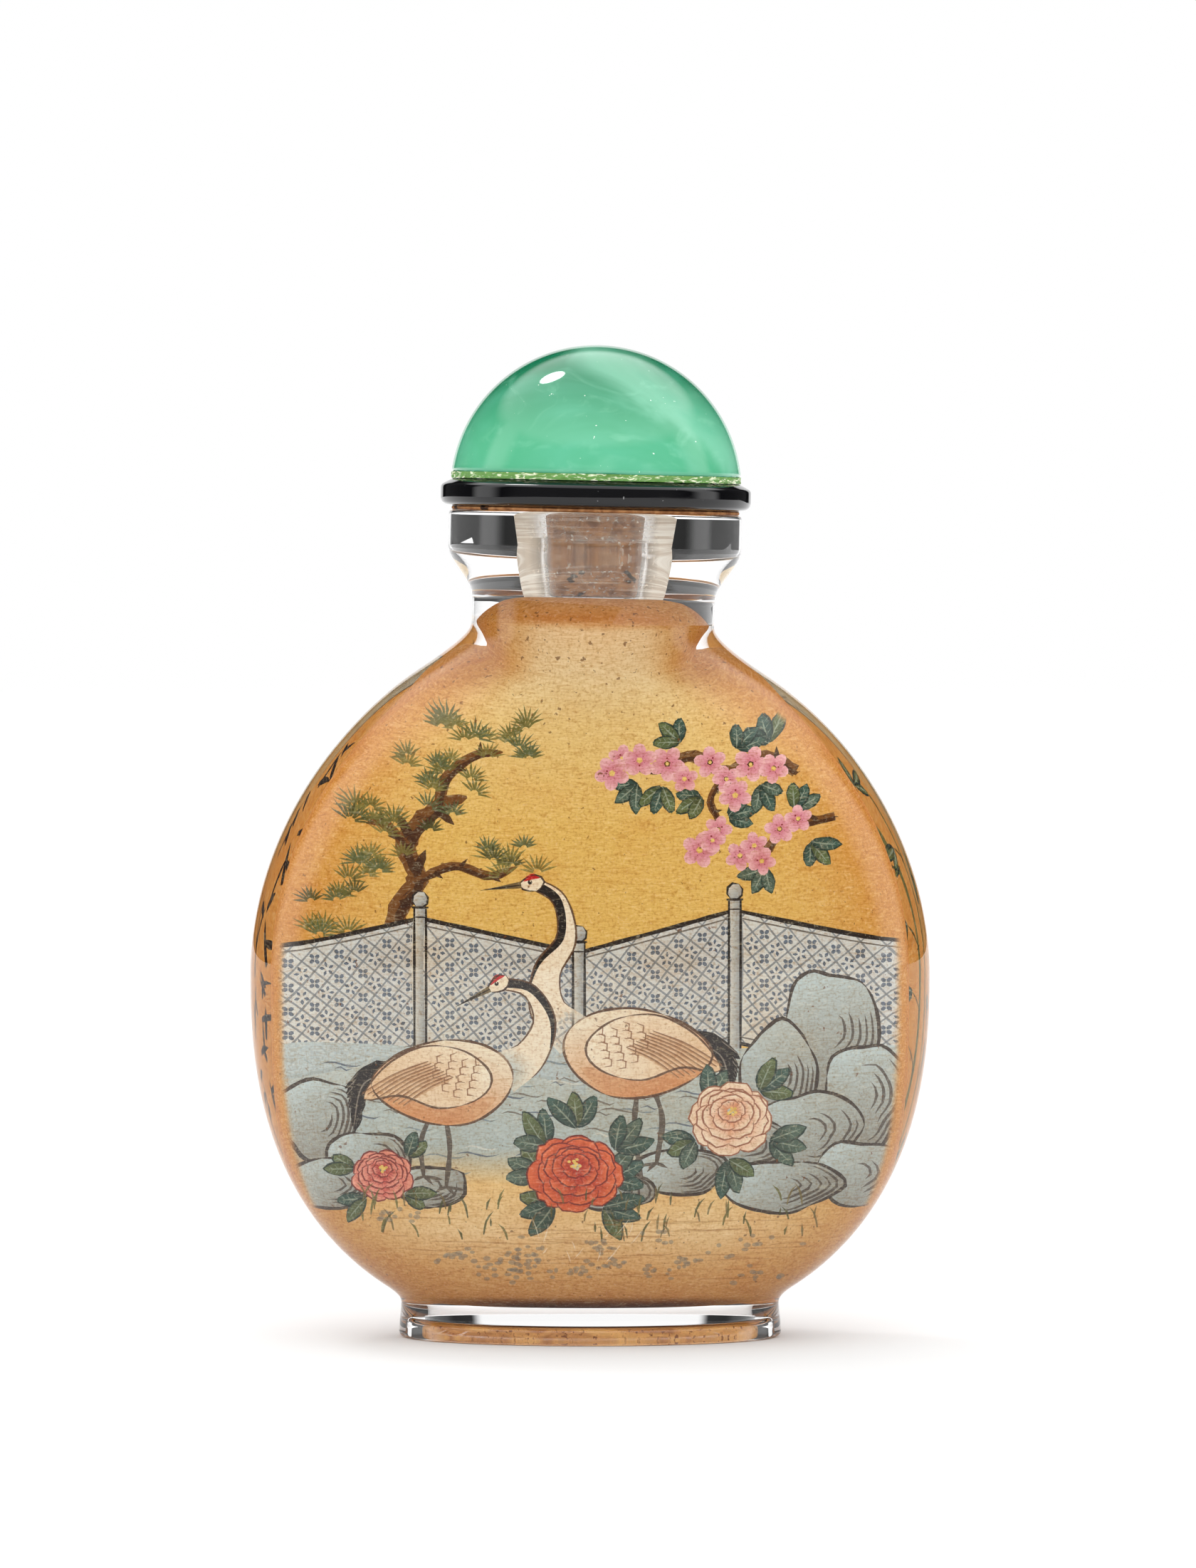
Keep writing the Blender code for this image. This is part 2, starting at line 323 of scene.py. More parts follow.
def outer_rings():
    """Up the outside, from the foot to the rim's band."""
    heights = [
        *np.linspace(FOOT_EDGE_ROUND, 6 * MM, 26)[1:],
        *np.linspace(6 * MM, 46 * MM, 70)[1:],
        *np.linspace(46 * MM, RIM_TOP - RIM_BAND, 44)[1:],
        *(RIM_TOP - RIM_BAND + RIM_STRAIGHT * np.array((0.02, 0.06, 0.15, 0.4, 0.7, 0.9, 0.97))),
    ]
    for height in heights:
        half_width = outer_size(height, BODY_WIDTH / 2, FOOT_WIDTH / 2)
        yield ring(half_width, outer_size(height, BODY_DEPTH / 2, FOOT_DEPTH / 2), height)


def rim_rings():
    """Over the rim's flat top and down the bore."""
    low_edge, radius = RIM_TOP - RIM_EDGE_ROUND, RIM_DIAMETER / 2
    mouth = bore_radius(low_edge)
    for size, height in quarter_round(radius, low_edge, radius - RIM_EDGE_ROUND, RIM_TOP, EDGE_LEVELS,
                                      True):
        yield ring(size, size, height)
    for share in (0.02, 0.1, 0.5, 0.9, 0.98):
        size = (radius - RIM_EDGE_ROUND) * (1 - share) + (mouth + RIM_EDGE_ROUND) * share
        yield ring(size, size, RIM_TOP)
    for size, height in quarter_round(mouth + RIM_EDGE_ROUND, RIM_TOP, mouth, low_edge, EDGE_LEVELS, False):
        yield ring(size, size, height)
    for share in (0.02, 0.1, 0.3, 0.5, 0.7, 0.9, 0.98):
        height = low_edge * (1 - share) + BORE_FOOT * share
        yield ring(bore_radius(height), bore_radius(height), height)


def cavity_wall(height, body, wall):
    """The cavity's half width or depth at heights, with its roof's curve up to the bore's throat."""
    throat = BORE_THROAT_DIAMETER / 2
    neck = cavity_size(CAVITY_ROOF, body, wall)
    roof = throat + half_oval(np.maximum(height - CAVITY_ROOF, 0), neck - throat, CAVITY_ROOF_RISE,
                              CAVITY_ROOF_EXPONENT)
    return np.where(height > CAVITY_ROOF, roof, cavity_size(height, body, wall))


CAVITY_REACH = BODY_MIDDLE - CAVITY_FLOOR
CAVITY_LAST = (1 - CAVITY_FLOOR_SHARE**CAVITY_DROP_EXPONENT) ** (1 / CAVITY_DROP_EXPONENT)
SHOULDER_LEVEL = 46 * MM
cavity_levels = np.concatenate([
    CAVITY_ROOF + CAVITY_ROOF_RISE * np.linspace(1, 0, 13) ** 0.8,
    np.linspace(CAVITY_ROOF, SHOULDER_LEVEL, 20)[1:],
    np.linspace(SHOULDER_LEVEL, BODY_MIDDLE, 36)[1:],
    BODY_MIDDLE - CAVITY_REACH * CAVITY_LAST * np.sin(np.linspace(0, math.pi / 2, 50)[1:]),
])


def cavity_rings():
    """Out under the cavity's roof and down its wall to the floor."""
    for height in cavity_levels:
        half_width = float(cavity_wall(height, BODY_WIDTH / 2, WALL_SIDE))
        yield ring(half_width, float(cavity_wall(height, BODY_DEPTH / 2, WALL_FACE)), height)


clear = Finish("clear_glass", Base_Color=(1.0, 1.0, 1.0, 1), Roughness=0.0, IOR=1.5,
               Transmission_Weight=1.0)
glass = as_piece("bottle_glass", loft([*foot_rings(), *outer_rings(), *rim_rings(), *cavity_rings()],
                                      GLASS_AROUND), clear.material)
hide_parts("bottle")

# The painting: colour laid on the inside of the glass, front and back, with a bent brush through
# the narrow mouth. It is a skin in the glass at the cavity's wall, with each brush mark cut into it.
# The picture is drawn flat, in millimetres across and up, as it is seen through that face.
SKIN_INSET = 0.08 * MM
SHEET_SPREAD = 14.0
LAST_TURN = SHEET_SPREAD * math.pi / 2
LONGEST_STEP = 1.3
FADE_START = 0.98
FADE_SPAN = 0.017
dice = random.Random(8)


def half_across(levels):
    """The cavity's half width at levels in millimetres, in millimetres."""
    return cavity_wall(np.asarray(levels) * MM, BODY_WIDTH / 2, WALL_SIDE) / MM


def curve(points, spacing=0.3, closed=False):
    """A smooth line through points, sampled at an even spacing."""
    points = np.array(points, float)
    if closed:
        fenced = np.vstack([points[-1:], points, points[:2]])
    else:
        fenced = np.vstack([2 * points[:1] - points[1:2], points, 2 * points[-1:] - points[-2:-1]])
    share = np.linspace(0, 1, 12, endpoint=False)[:, None]
    runs = [
        0.5 * (2 * start + (end - before) * share
               + (2 * before - 5 * start + 4 * end - after) * share**2
               + (3 * start - before - 3 * end + after) * share**3)
        for before, start, end, after in zip(fenced, fenced[1:], fenced[2:], fenced[3:])
    ]
    line = np.vstack([*runs, points[:1] if closed else points[-1:]])
    along = np.concatenate([[0], np.cumsum(np.hypot(*np.diff(line, axis=0).T))])
    marks = np.linspace(0, along[-1], max(3, round(along[-1] / spacing) + 1))
    if closed:
        marks = marks[:-1]
    return np.column_stack([np.interp(marks, along, line[:, 0]), np.interp(marks, along, line[:, 1])])


def sideways(line):
    """The unit direction across a line, at each of its points."""
    ahead = np.gradient(line, axis=0)
    return np.column_stack([-ahead[:, 1], ahead[:, 0]]) / np.maximum(np.hypot(*ahead.T), 1e-6)[:, None]


class Painting:
    """Marks in the order in which they are painted: an outline, a colour and how well it covers."""

    def __init__(self, ground, sides):
        self.marks = []
        self.ground = np.array(ground, float)
        # The browner colour that the ground takes on towards the wall's sides, which is painted shade.
        self.sides = np.array(sides, float)

    def fill(self, outline, tint, cover=1.0):
        """A flat or shaded shape."""
        self.marks.append((np.array(outline, float), tint, cover))

    def stroke(self, points, width, tint, cover=1.0, start=0.15, end=0.15, spacing=0.5):
        """A brush stroke along a curve, thickest in its middle; start and end are its tips' shares."""
        line = curve(points, spacing)
        share = np.linspace(0, 1, len(line))
        taper = start * (1 - share) + end * share
        half = width / 2 * (taper + (1 - taper) * np.sin(math.pi * share) ** 0.5)
        half = (half * [dice.uniform(0.82, 1.18) for _ in line])[:, None] * sideways(line)
        self.fill(np.vstack([line + half, (line - half)[::-1]]), tint, cover)

    def edge(self, outline, width, tint, cover=1.0, strokes=3):
        """An outline in a few strokes, so that it swells and thins."""
        count = len(outline)
        first = dice.randrange(count)
        for place in range(strokes):
            steps = range(place * count // strokes, (place + 1) * count // strokes + 1)
            if len(steps) > 2:
                self.stroke([outline[(first + step) % count] for step in steps], width, tint, cover)


def shade(start, end, first, last):
    """A colour that runs from first at one point to last at another."""
    start, way = np.array(start, float), np.array(end, float) - start
    first, last = np.array(first, float), np.array(last, float)

    def at(points):
        share = np.clip(((points - start) @ way) / (way @ way), 0, 1)[:, None]
        return first * (1 - share) + last * share

    return at


def aim(angle, reach=1.0):
    """A point at a distance in a direction."""
    return np.array([math.cos(angle), math.sin(angle)]) * reach


def oval(centre, width, height, turn=0.0, count=14):
    """An ellipse's outline."""
    angle = np.linspace(0, 2 * math.pi, count, endpoint=False)
    across, up = width / 2 * np.cos(angle), height / 2 * np.sin(angle)
    return np.column_stack([centre[0] + across * math.cos(turn) - up * math.sin(turn),
                            centre[1] + across * math.sin(turn) + up * math.cos(turn)])


def ground(painting, points):
    """The bare ground: rows of a height and a colour up the wall, and a browner colour towards its sides,
    which is painted shade.
    """
    levels, *bands = painting.ground.T
    base = np.column_stack([np.interp(points[:, 1], levels, band) for band in bands])
    share = np.abs(points[:, 0]) / np.maximum(half_across(points[:, 1]), 0.1)
    side = np.clip((share - 0.5) / 0.5, 0, 1)[:, None] ** 1.8
    return base * (1 - side) + painting.sides * side


def linear(tints):
    """Screen colours from 0 to 255 as the shader's linear ones."""
    tints = np.clip(tints / 255, 0, 1)
    return np.where(tints <= 0.04045, tints / 12.92, ((tints + 0.055) / 1.055) ** 2.4)


def unrolled(points):
    """A picture's points on the wall's flat sheet, where the wall's side edges are straight."""
    share = points[:, 0] / half_across(np.clip(points[:, 1], cavity_levels[-1] / MM, cavity_levels[0] / MM))
    within = np.clip(share, -1, 1)
    return np.column_stack([(np.arcsin(within) + share - within) * SHEET_SPREAD, points[:, 1]])


def short_edged(outline):
    """An outline with points added where an edge would cut across the wall's bend."""
    ahead = np.roll(outline, -1, axis=0) - outline
    parts = np.maximum(np.ceil(np.abs(ahead[:, 0]) / LONGEST_STEP), 1).astype(int)
    start = np.repeat(np.arange(len(outline)), parts)
    step = np.arange(len(start)) - np.repeat(np.cumsum(parts) - parts, parts)
    return outline[start] + ahead[start] * (step / parts[start])[:, None]


def anticlockwise(outline):
    """An outline in the direction that the triangulation fills."""
    ahead = np.roll(outline, -1, axis=0)
    area = (outline[:, 0] * ahead[:, 1] - ahead[:, 0] * outline[:, 1]).sum()
    return outline if area > 0 else outline[::-1]


def inside(points, outline):
    """Which points lie inside an outline."""
    within = np.zeros(len(points), bool)
    for (x, y), (next_x, next_y) in zip(outline, np.roll(outline, -1, axis=0)):
        if y != next_y:
            crossing = (next_x - x) * (points[:, 1] - y) / (next_y - y) + x
            within ^= ((y > points[:, 1]) != (next_y > points[:, 1])) & (points[:, 0] < crossing)
    return within


def still_seen(marks):
    """The marks that no later solid mark hides whole."""
    sizes = np.array([len(outline) for outline, _, _ in marks])
    spots, owner = np.vstack([outline for outline, _, _ in marks]), np.repeat(np.arange(len(marks)), sizes)
    hidden = np.zeros(len(marks), bool)
    for place, (outline, _, cover) in enumerate(marks):
        low, high = outline.min(axis=0), outline.max(axis=0)
        if callable(cover) or cover < 1 or (high - low).prod() < 1:
            continue
        near = (owner < place) & ((spots > low) & (spots < high)).all(axis=1)
        covered = owner[near][inside(spots[near], outline)]
        hidden |= np.bincount(covered, minlength=len(marks)) == sizes
    return [mark for mark, gone in zip(marks, hidden) if not gone]


def painted_skin(name, painting, facing, finish):
    """Lays a painting on the wall's front (facing -1) or back (1) half, and closes it over the floor."""
    seen_marks = still_seen(painting.marks)
    turns = np.linspace(-LAST_TURN, LAST_TURN, GLASS_AROUND // 2 + 1)
    rows = cavity_levels[::-1] / MM
    across, up = (grid.ravel() for grid in np.meshgrid(turns, rows))
    flat = [np.column_stack([across, up])]
    rim = [(-LAST_TURN, rows[0]), (LAST_TURN, rows[0]), (LAST_TURN, rows[-1]), (-LAST_TURN, rows[-1])]
    outlines = [np.array(rim), *(short_edged(anticlockwise(unrolled(outline))) for outline, _,
                                 _ in seen_marks)]
    marks, count = [], len(flat[0])
    for outline in outlines:
        flat.append(outline)
        marks.append(list(range(count, count + len(outline))))
        count += len(outline)
    laid = delaunay_2d_cdt([Vector(point) for point in np.vstack(flat)], [], marks, 0, 1e-5, True)
    on_sheet = np.array([vert[:] for vert in laid[0]])
    kept = [(face, under) for face, under in zip(laid[2], laid[5]) if 0 in under]
    used, faces = np.unique([face for face, _ in kept], return_inverse=True)
    on_sheet, faces = on_sheet[used], faces.reshape(-1, 3)

    turn, level = on_sheet[:, 0] / SHEET_SPREAD, on_sheet[:, 1]
    picture = np.column_stack([half_across(level) * np.sin(turn), level])
    corners = picture[faces].reshape(-1, 2)
    bare = ground(painting, corners)
    tints = bare.copy()
    owner = np.repeat(np.arange(len(kept)), [len(under) for _, under in kept])
    mark = np.concatenate([under for _, under in kept])
    order = np.argsort(mark, kind="stable")
    owner, mark = owner[order], mark[order]
    bounds = np.searchsorted(mark, np.arange(1, len(marks) + 1))
    centres = on_sheet[faces].mean(axis=1)
    for (_, tint, cover), outline, start, end in zip(seen_marks, outlines[1:], bounds, bounds[1:]):
        filled = owner[start:end]
        filled = filled[inside(centres[filled], outline)]
        spots = (filled[:, None] * 3 + np.arange(3)).ravel()
        if len(spots):
            colour_here = tint(corners[spots]) if callable(tint) else np.array(tint, float)
            cover_here = cover(corners[spots])[:, None] if callable(cover) else cover
            tints[spots] = tints[spots] * (1 - cover_here) + colour_here * cover_here

    share = np.abs(corners[:, 0]) / np.maximum(half_across(corners[:, 1]), 0.1)
    fading = smooth_step((share - FADE_START) / FADE_SPAN)[:, None]
    tints = tints * (1 - fading) + bare * fading

    height = level * MM
    half_width = cavity_wall(height, BODY_WIDTH / 2, WALL_SIDE) + SKIN_INSET
    half_depth = cavity_wall(height, BODY_DEPTH / 2, WALL_FACE) + SKIN_INSET
    raised = height + SKIN_INSET * (smooth_step((height - CAVITY_ROOF) / (1 * MM))
                                    - smooth_step((CAVITY_FLOOR + 1 * MM - height) / (1 * MM)))
    lean, pivot = lean_angle(height), RIM_TOP - LEAN_START_BELOW_RIM
    x, y, z = -facing * half_width * np.sin(turn), facing * half_depth * np.cos(turn), raised - pivot
    places = np.column_stack([x * np.cos(lean) + z * np.sin(lean), y,
                              pivot - x * np.sin(lean) + z * np.cos(lean)])
    floor_edge = np.flatnonzero(np.abs(level - rows[0]) < 1e-4)
    floor_edge = floor_edge[np.argsort(turn[floor_edge])]
    mesh = bpy.data.meshes.new(name)
    mesh.from_pydata(places, [], [*faces.tolist(), floor_edge[::-1].tolist()])
    floor_tints = np.repeat(ground(painting, np.array([(0, rows[0])])), len(floor_edge), axis=0)
    shades = np.column_stack([linear(np.vstack([tints, floor_tints])),
                              np.ones(len(tints) + len(floor_edge))])
    layer = mesh.attributes.new("paint", "FLOAT_COLOR", "CORNER")
    layer.data.foreach_set("color", shades.astype(np.float32).ravel())
    mesh.materials.append(finish.material)
    mesh.shade_smooth()
    piece = bpy.data.objects.new(name, mesh)
    bpy.context.scene.collection.objects.link(piece)
    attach(piece, "root")
    return piece


# The paint's own grain: short wandering strokes, sandy colour, and brown specks near the neck.
paint = Finish("paint", Roughness=0.85, Specular_IOR_Level=0.1)
spot = paint.place()
level = paint.node("SeparateXYZ", {}, {"Vector": spot}, "Z")
brush = paint.noise(spot, (640, 640, 3400), 5.0, 2.6)
sweep = paint.noise(spot, (1500, 1500, 420), 4.0, 3.0)
grain = paint.noise(spot, (5600, 5600, 5600), 3.0)
cloud = paint.noise(spot, (150, 150, 190), 3.0)
specks = paint.noise(spot, (2300, 2300, 2300), 2.0)
near_neck = level.step(0.040, 0.054) * 0.05
laid_colour = paint.node("Attribute", {"attribute_name": "paint"}, {}, "Color")
toned = paint.mix(brush.step(0.42, 0.74) * 0.5, laid_colour, colour(214, 176, 120), "MULTIPLY")
toned = paint.mix(sweep.step(0.5, 0.8) * 0.4, toned, colour(220, 186, 140), "MULTIPLY")
toned = paint.mix(brush.step(0.46, 0.28) * 0.16, toned, colour(255, 236, 190))
toned = paint.mix(grain.step(0.5, 0.72) * 0.5, toned, colour(206, 172, 128), "MULTIPLY")
toned = paint.mix(grain.step(0.44, 0.28) * 0.14, toned, colour(255, 240, 208))
toned = paint.mix(cloud.step(0.45, 0.75) * 0.3, toned, colour(236, 196, 140), "MULTIPLY")
flecked = (specks + near_neck).step(0.70, 0.75)
paint.wear(Base_Color=paint.mix(flecked * 0.75, toned, colour(112, 66, 28)))

# The front picture: two cranes by a pond, between a pine and a plum tree, before a low railing.
# Outlines are in ink and warm brown, and the shapes are washed in, darker towards one side.
INK = (38, 30, 26)
WARM_LINE = (92, 62, 40)
OLIVE = (104, 102, 50)
DARK_OLIVE = (74, 76, 38)
TEAL = (62, 88, 78)
LEAF_GREEN = (92, 106, 66)
DARK_TEAL = (38, 54, 48)
CREAM = (240, 227, 200)
PEACH = (216, 152, 98)
SLATE = (78, 90, 108)
STONE_LIGHT = (190, 204, 202)
STONE_DARK = (150, 150, 140)
STONE_LINE = (62, 50, 42)
BARK = (112, 70, 30)
DARK_BARK = (64, 38, 18)


def leaf(root, angle, length, width, tint):
    """A pointed leaf: darker at its root, an ink edge, a pale rib and veins."""
    ahead, side = aim(angle), aim(angle + math.pi / 2)
    bend = dice.uniform(-0.12, 0.12) * length
    along = np.array([0, 0.25, 0.55, 0.8, 1.0])[:, None]
    half = width / 2 * np.array([0.12, 0.8, 1.0, 0.62, 0.0])[:, None] * side
    spine = np.array(root) + along * length * ahead + along**2 * bend * side
    outline = curve(np.vstack([spine + half, (spine - half)[-2::-1]]), 0.4, True)
    sheet.fill(outline, shade(root, spine[-1], np.array(tint) * 0.78, np.array(tint) * 1.15))
    sheet.edge(outline, 0.13, DARK_TEAL, 0.9, 2)
    pale = (154, 168, 148)
    sheet.stroke(spine[:-1], 0.11, pale, 0.8)
    for share in (0.3, 0.5, 0.68):
        base = spine[0] + ahead * length * share
        for way in (1, -1):
            tip = base + (ahead * 0.75 + way * side) * width * 0.34
            sheet.stroke([base, (base + tip) / 2, tip], 0.07, pale, 0.6)


def leaf_spray(root, angle, count, length, width):
    """A few leaves that fan out from one root."""
    for place in range(count):
        turn = angle + (place - (count - 1) / 2) * 0.66
        leaf(root, turn, length * dice.uniform(0.86, 1.14), width,
             dice.choice((TEAL, (78, 98, 84), LEAF_GREEN)))


def petal(centre, angle, reach, spread, deep, light, line, flatten):
    """A broad round petal with a notched edge and a few faint veins."""
    turns = np.linspace(-1, 1, 11)
    rim = reach * (1.0 - 0.22 * turns**2 - 0.05 * np.exp(-((turns / 0.16) ** 2)))
    rim = rim * [dice.uniform(0.975, 1.025) for _ in turns]
    places = np.array([aim(angle + turn * spread, far) for turn, far in zip(turns, rim)])
    heel = [aim(angle + way * 0.5 * spread, reach * 0.3) for way in (1, -1)]
    outline = np.array(centre) + np.vstack([places, heel]) * (1, flatten)
    root, tip = (np.array(centre) + aim(angle, reach * far) * (1, flatten) for far in (0.35, 0.95))
    sheet.fill(curve(outline, 0.4, True), shade(root, tip, deep, light))
    sheet.stroke(outline[:11], 0.13, line, 0.85)
    for turn in (-0.5, -0.15, 0.2, 0.55):
        ways = [
            np.array(centre) + aim(angle + turn * spread, reach * far) * (1, flatten)
            for far in (0.4, 0.6, 0.84)
        ]
        sheet.stroke(ways, 0.08, line, 0.35, end=0.0)


def peony(centre, radius, deep, light, line):
    """A full blossom: rings of petals, the inner ones set towards its top."""
    for size, count, lift in ((1.0, 8, 0), (0.84, 7, 0.03), (0.67, 6, 0.08), (0.5, 5, 0.13),
                              (0.33, 4, 0.18)):
        first = dice.uniform(0, 6)
        for place in dice.sample(range(count), count):
            angle = first + place * 2 * math.pi / count + dice.uniform(-0.08, 0.08)
            reach = radius * size * dice.uniform(0.94, 1.05)
            petal((centre[0], centre[1] + lift * radius), angle, reach, math.pi / count * 1.35, deep,
                  light, line, 0.86)
    for _ in range(10):
        spot = np.array(centre) + (dice.gauss(0, 0.06 * radius),
                                   0.2 * radius + dice.gauss(0, 0.05 * radius))
        sheet.fill(oval(spot, 0.26, 0.22, count=6), (234, 200, 104))


def plum_blossom(centre, size):
    """A small five-petalled blossom with a dotted heart."""
    first = dice.uniform(0, 6)
    centre = np.array(centre, float)
    for place in range(5):
        angle = first + place * 2 * math.pi / 5
        middle = centre + aim(angle, 0.48 * size)
        outline = oval(middle, size * 0.74, size * 0.64, angle, 9)
        sheet.fill(outline, shade(centre, centre + aim(angle, size * 0.8), (204, 112, 130),
                                  (236, 186, 188)))
        sheet.edge(outline, 0.07, (170, 88, 104), 0.7, 1)
        sheet.fill(oval(centre + aim(angle + 0.6, 0.26 * size), 0.15, 0.15, count=5), (140, 46, 50))
    sheet.fill(oval(centre, 0.26, 0.26, count=6), (232, 200, 110))


def twig(points, width, spurs):
    """A gnarled branch: a brown stroke, a darker underside, bark marks and short spurs."""
    sheet.stroke(points, width, BARK, 0.95, start=0.9, end=0.12)
    line = curve(points, 0.4)
    sheet.stroke(line[:-2] + (0.1 * width, -0.22 * width), width * 0.42, DARK_BARK, 0.75, start=0.9,
                 end=0.1)
    for _ in range(len(line)):
        spot = dice.choice(line[:-2]) + np.array([dice.uniform(-0.3, 0.3), dice.uniform(-0.3, 0.3)]) * width
        way = aim(dice.uniform(-0.6, 0.9), width * 0.4)
        sheet.stroke([spot, spot + way / 2, spot + way], 0.11, DARK_BARK, 0.6)
    for place in range(spurs):
        start = int(len(line) * (place + 0.7) / (spurs + 0.6))
        ahead = line[start + 1] - line[start]
        turn = math.atan2(ahead[1], ahead[0]) + dice.uniform(0.5, 1.4) * dice.choice((1, -1))
        tips = [line[start] + aim(turn, width * far) for far in (0, 0.6, 1.1)]
        sheet.stroke(tips, width * 0.4, DARK_BARK, 0.9, start=1.0, end=0.1)


def needle_fan(centre, size, turn, tint):
    """A tuft of pine needles."""
    for place in range(9):
        tip = aim(turn + (place - 4) * 0.33 + dice.uniform(-0.05, 0.05), size * dice.uniform(0.85, 1.05))
        sheet.stroke([centre + tip * 0.2, centre + tip * 0.6 + (0, 0.04), centre + tip], 0.17, tint, 0.85,
                     0.7, 0.05, 0.6)


def floret(centre, size, dashes):
    """A little flower of five dashes, or of four round petals about a pale heart."""
    first = dice.uniform(0, 6)
    if dashes:
        for place in range(5):
            tip = aim(first + place * 2 * math.pi / 5, size)
            sheet.stroke([centre + tip * 0.3, centre + tip * 0.65, centre + tip], 0.24, SLATE, 0.85, 0.2,
                         0.2, 0.4)
        return
    for place in range(4):
        angle = math.pi * (place / 2 + 0.25)
        sheet.fill(oval(centre + aim(angle, size * 0.48), 0.4, 0.3, angle, 6), SLATE, 0.8)
    sheet.fill(oval(centre, 0.16, 0.16, count=5), (200, 200, 190))


def rail_panel(left, right, height):
    """One panel of the railing: a grey board, a lozenge lattice on it and a floret in each lozenge."""
    left, right = np.array(left, float), np.array(right, float)

    def at(across, up):
        return left + (right - left) * across + (0, height * up)

    board = [at(share, 0) for share in np.linspace(0, 1, 24)] + [
        at(share, 1) for share in np.linspace(1, 0, 24)
    ]
    sheet.fill(board, shade(left, right + (0, height), (216, 214, 202), (204, 207, 204)))
    wide, tall = (np.array([np.hypot(*(right - left)), height])) / 1.75
    for step in range(-math.ceil(tall), math.ceil(wide) + 1):
        for slope in (1, -1):
            first = step if slope > 0 else step + tall
            low, high = sorted((-slope * first / tall, slope * (wide - first) / tall))
            low, high = max(low, 0), min(high, 1)
            if high - low > 0.04:
                ends = [at((first + slope * up * tall) / wide, up) for up in (low, (low + high) / 2, high)]
                sheet.stroke(ends, 0.14, (126, 132, 136), 0.85, 0.7, 0.7, 0.8)
    for row in range(-20, 40):
        for column in range(-20, 40):
            across = (row + column + 1 + tall) / 2
            up = across - row - 0.5
            if 0.35 < across < wide - 0.35 and 0.35 < up < tall - 0.35:
                floret(at(across / wide, up / tall), 0.52, (row + column) % 2)
    for up, width, tint in ((0, 0.3, INK), (1, 0.32, INK), (0.05, 0.12, (110, 104, 96)),
                            (0.95, 0.12, (110, 104, 96))):
        sheet.stroke([at(0, up), at(0.5, up), at(1, up)], width, tint, 0.95, 0.8, 0.8, 1.0)


def rail_post(x, foot, height):
    """A post of the railing, with a round knob."""
    top, half = foot + height, 0.42
    sheet.fill([(x - half, foot), (x + half, foot), (x + half, top), (x - half, top)],
               shade((x - half, foot), (x + half, foot), (212, 210, 196), (150, 154, 154)))
    for side in (-half, half):
        sheet.stroke([(x + side, foot), (x + side, foot + height / 2), (x + side, top)], 0.18, INK, 0.95,
                     0.7, 0.7, 1.0)
    knob = oval((x, top + 0.55), 1.15, 1.25, count=12)
    sheet.fill(knob, shade((x - 0.4, top + 1), (x + 0.5, top), (216, 212, 198), (140, 146, 148)))
    sheet.edge(knob, 0.17, INK, 0.95, 2)
    for drop, reach, width in ((0.03, 0.6, 0.22), (0.73, 0.45, 0.12)):
        sheet.stroke([(x - reach, top - drop), (x, top - drop), (x + reach, top - drop)], width, INK, 0.9,
                     0.6, 0.6)


def stones(lobes):
    """Garden rock in rounded lobes, back to front, with flowing lines down each one's shaded side."""
    for x, z, width, height, turn in lobes:
        count = max(10, int((width + height) * 1.1))
        angle = np.linspace(0, 2 * math.pi, count, endpoint=False)
        rough = 1 + 0.07 * np.sin(3 * angle + dice.uniform(0,
                                                           6)) + 0.05 * np.sin(5 * angle + dice.uniform(0,
                                                                                                        6))
        bent = np.array([aim(place + turn) for place in angle]) * rough[:, None] * (width / 2, height / 2)
        middle = np.array([x, z], float)
        outline = curve(middle + bent, 0.35, True)
        sheet.fill(outline, shade(middle + (-0.2 * width, 0.42 * height),
                                  middle + (0.25 * width, -0.42 * height),
                                  STONE_LIGHT, STONE_DARK))
        for inset in (0.88, 0.76, 0.63, 0.48, 0.32):
            first = int(dice.uniform(0.72, 0.86) * len(outline))
            reach = int(dice.uniform(0.22, 0.46) * len(outline))
            run = [
                middle + (outline[(first + step) % len(outline)] - middle) * inset
                for step in range(0, reach, 2)
            ]
            if len(run) > 2:
                sheet.stroke(run, 0.19, STONE_LINE, 0.7, 0.1, 0.0)
        sheet.edge(outline, 0.26, STONE_LINE, 0.95, 3)


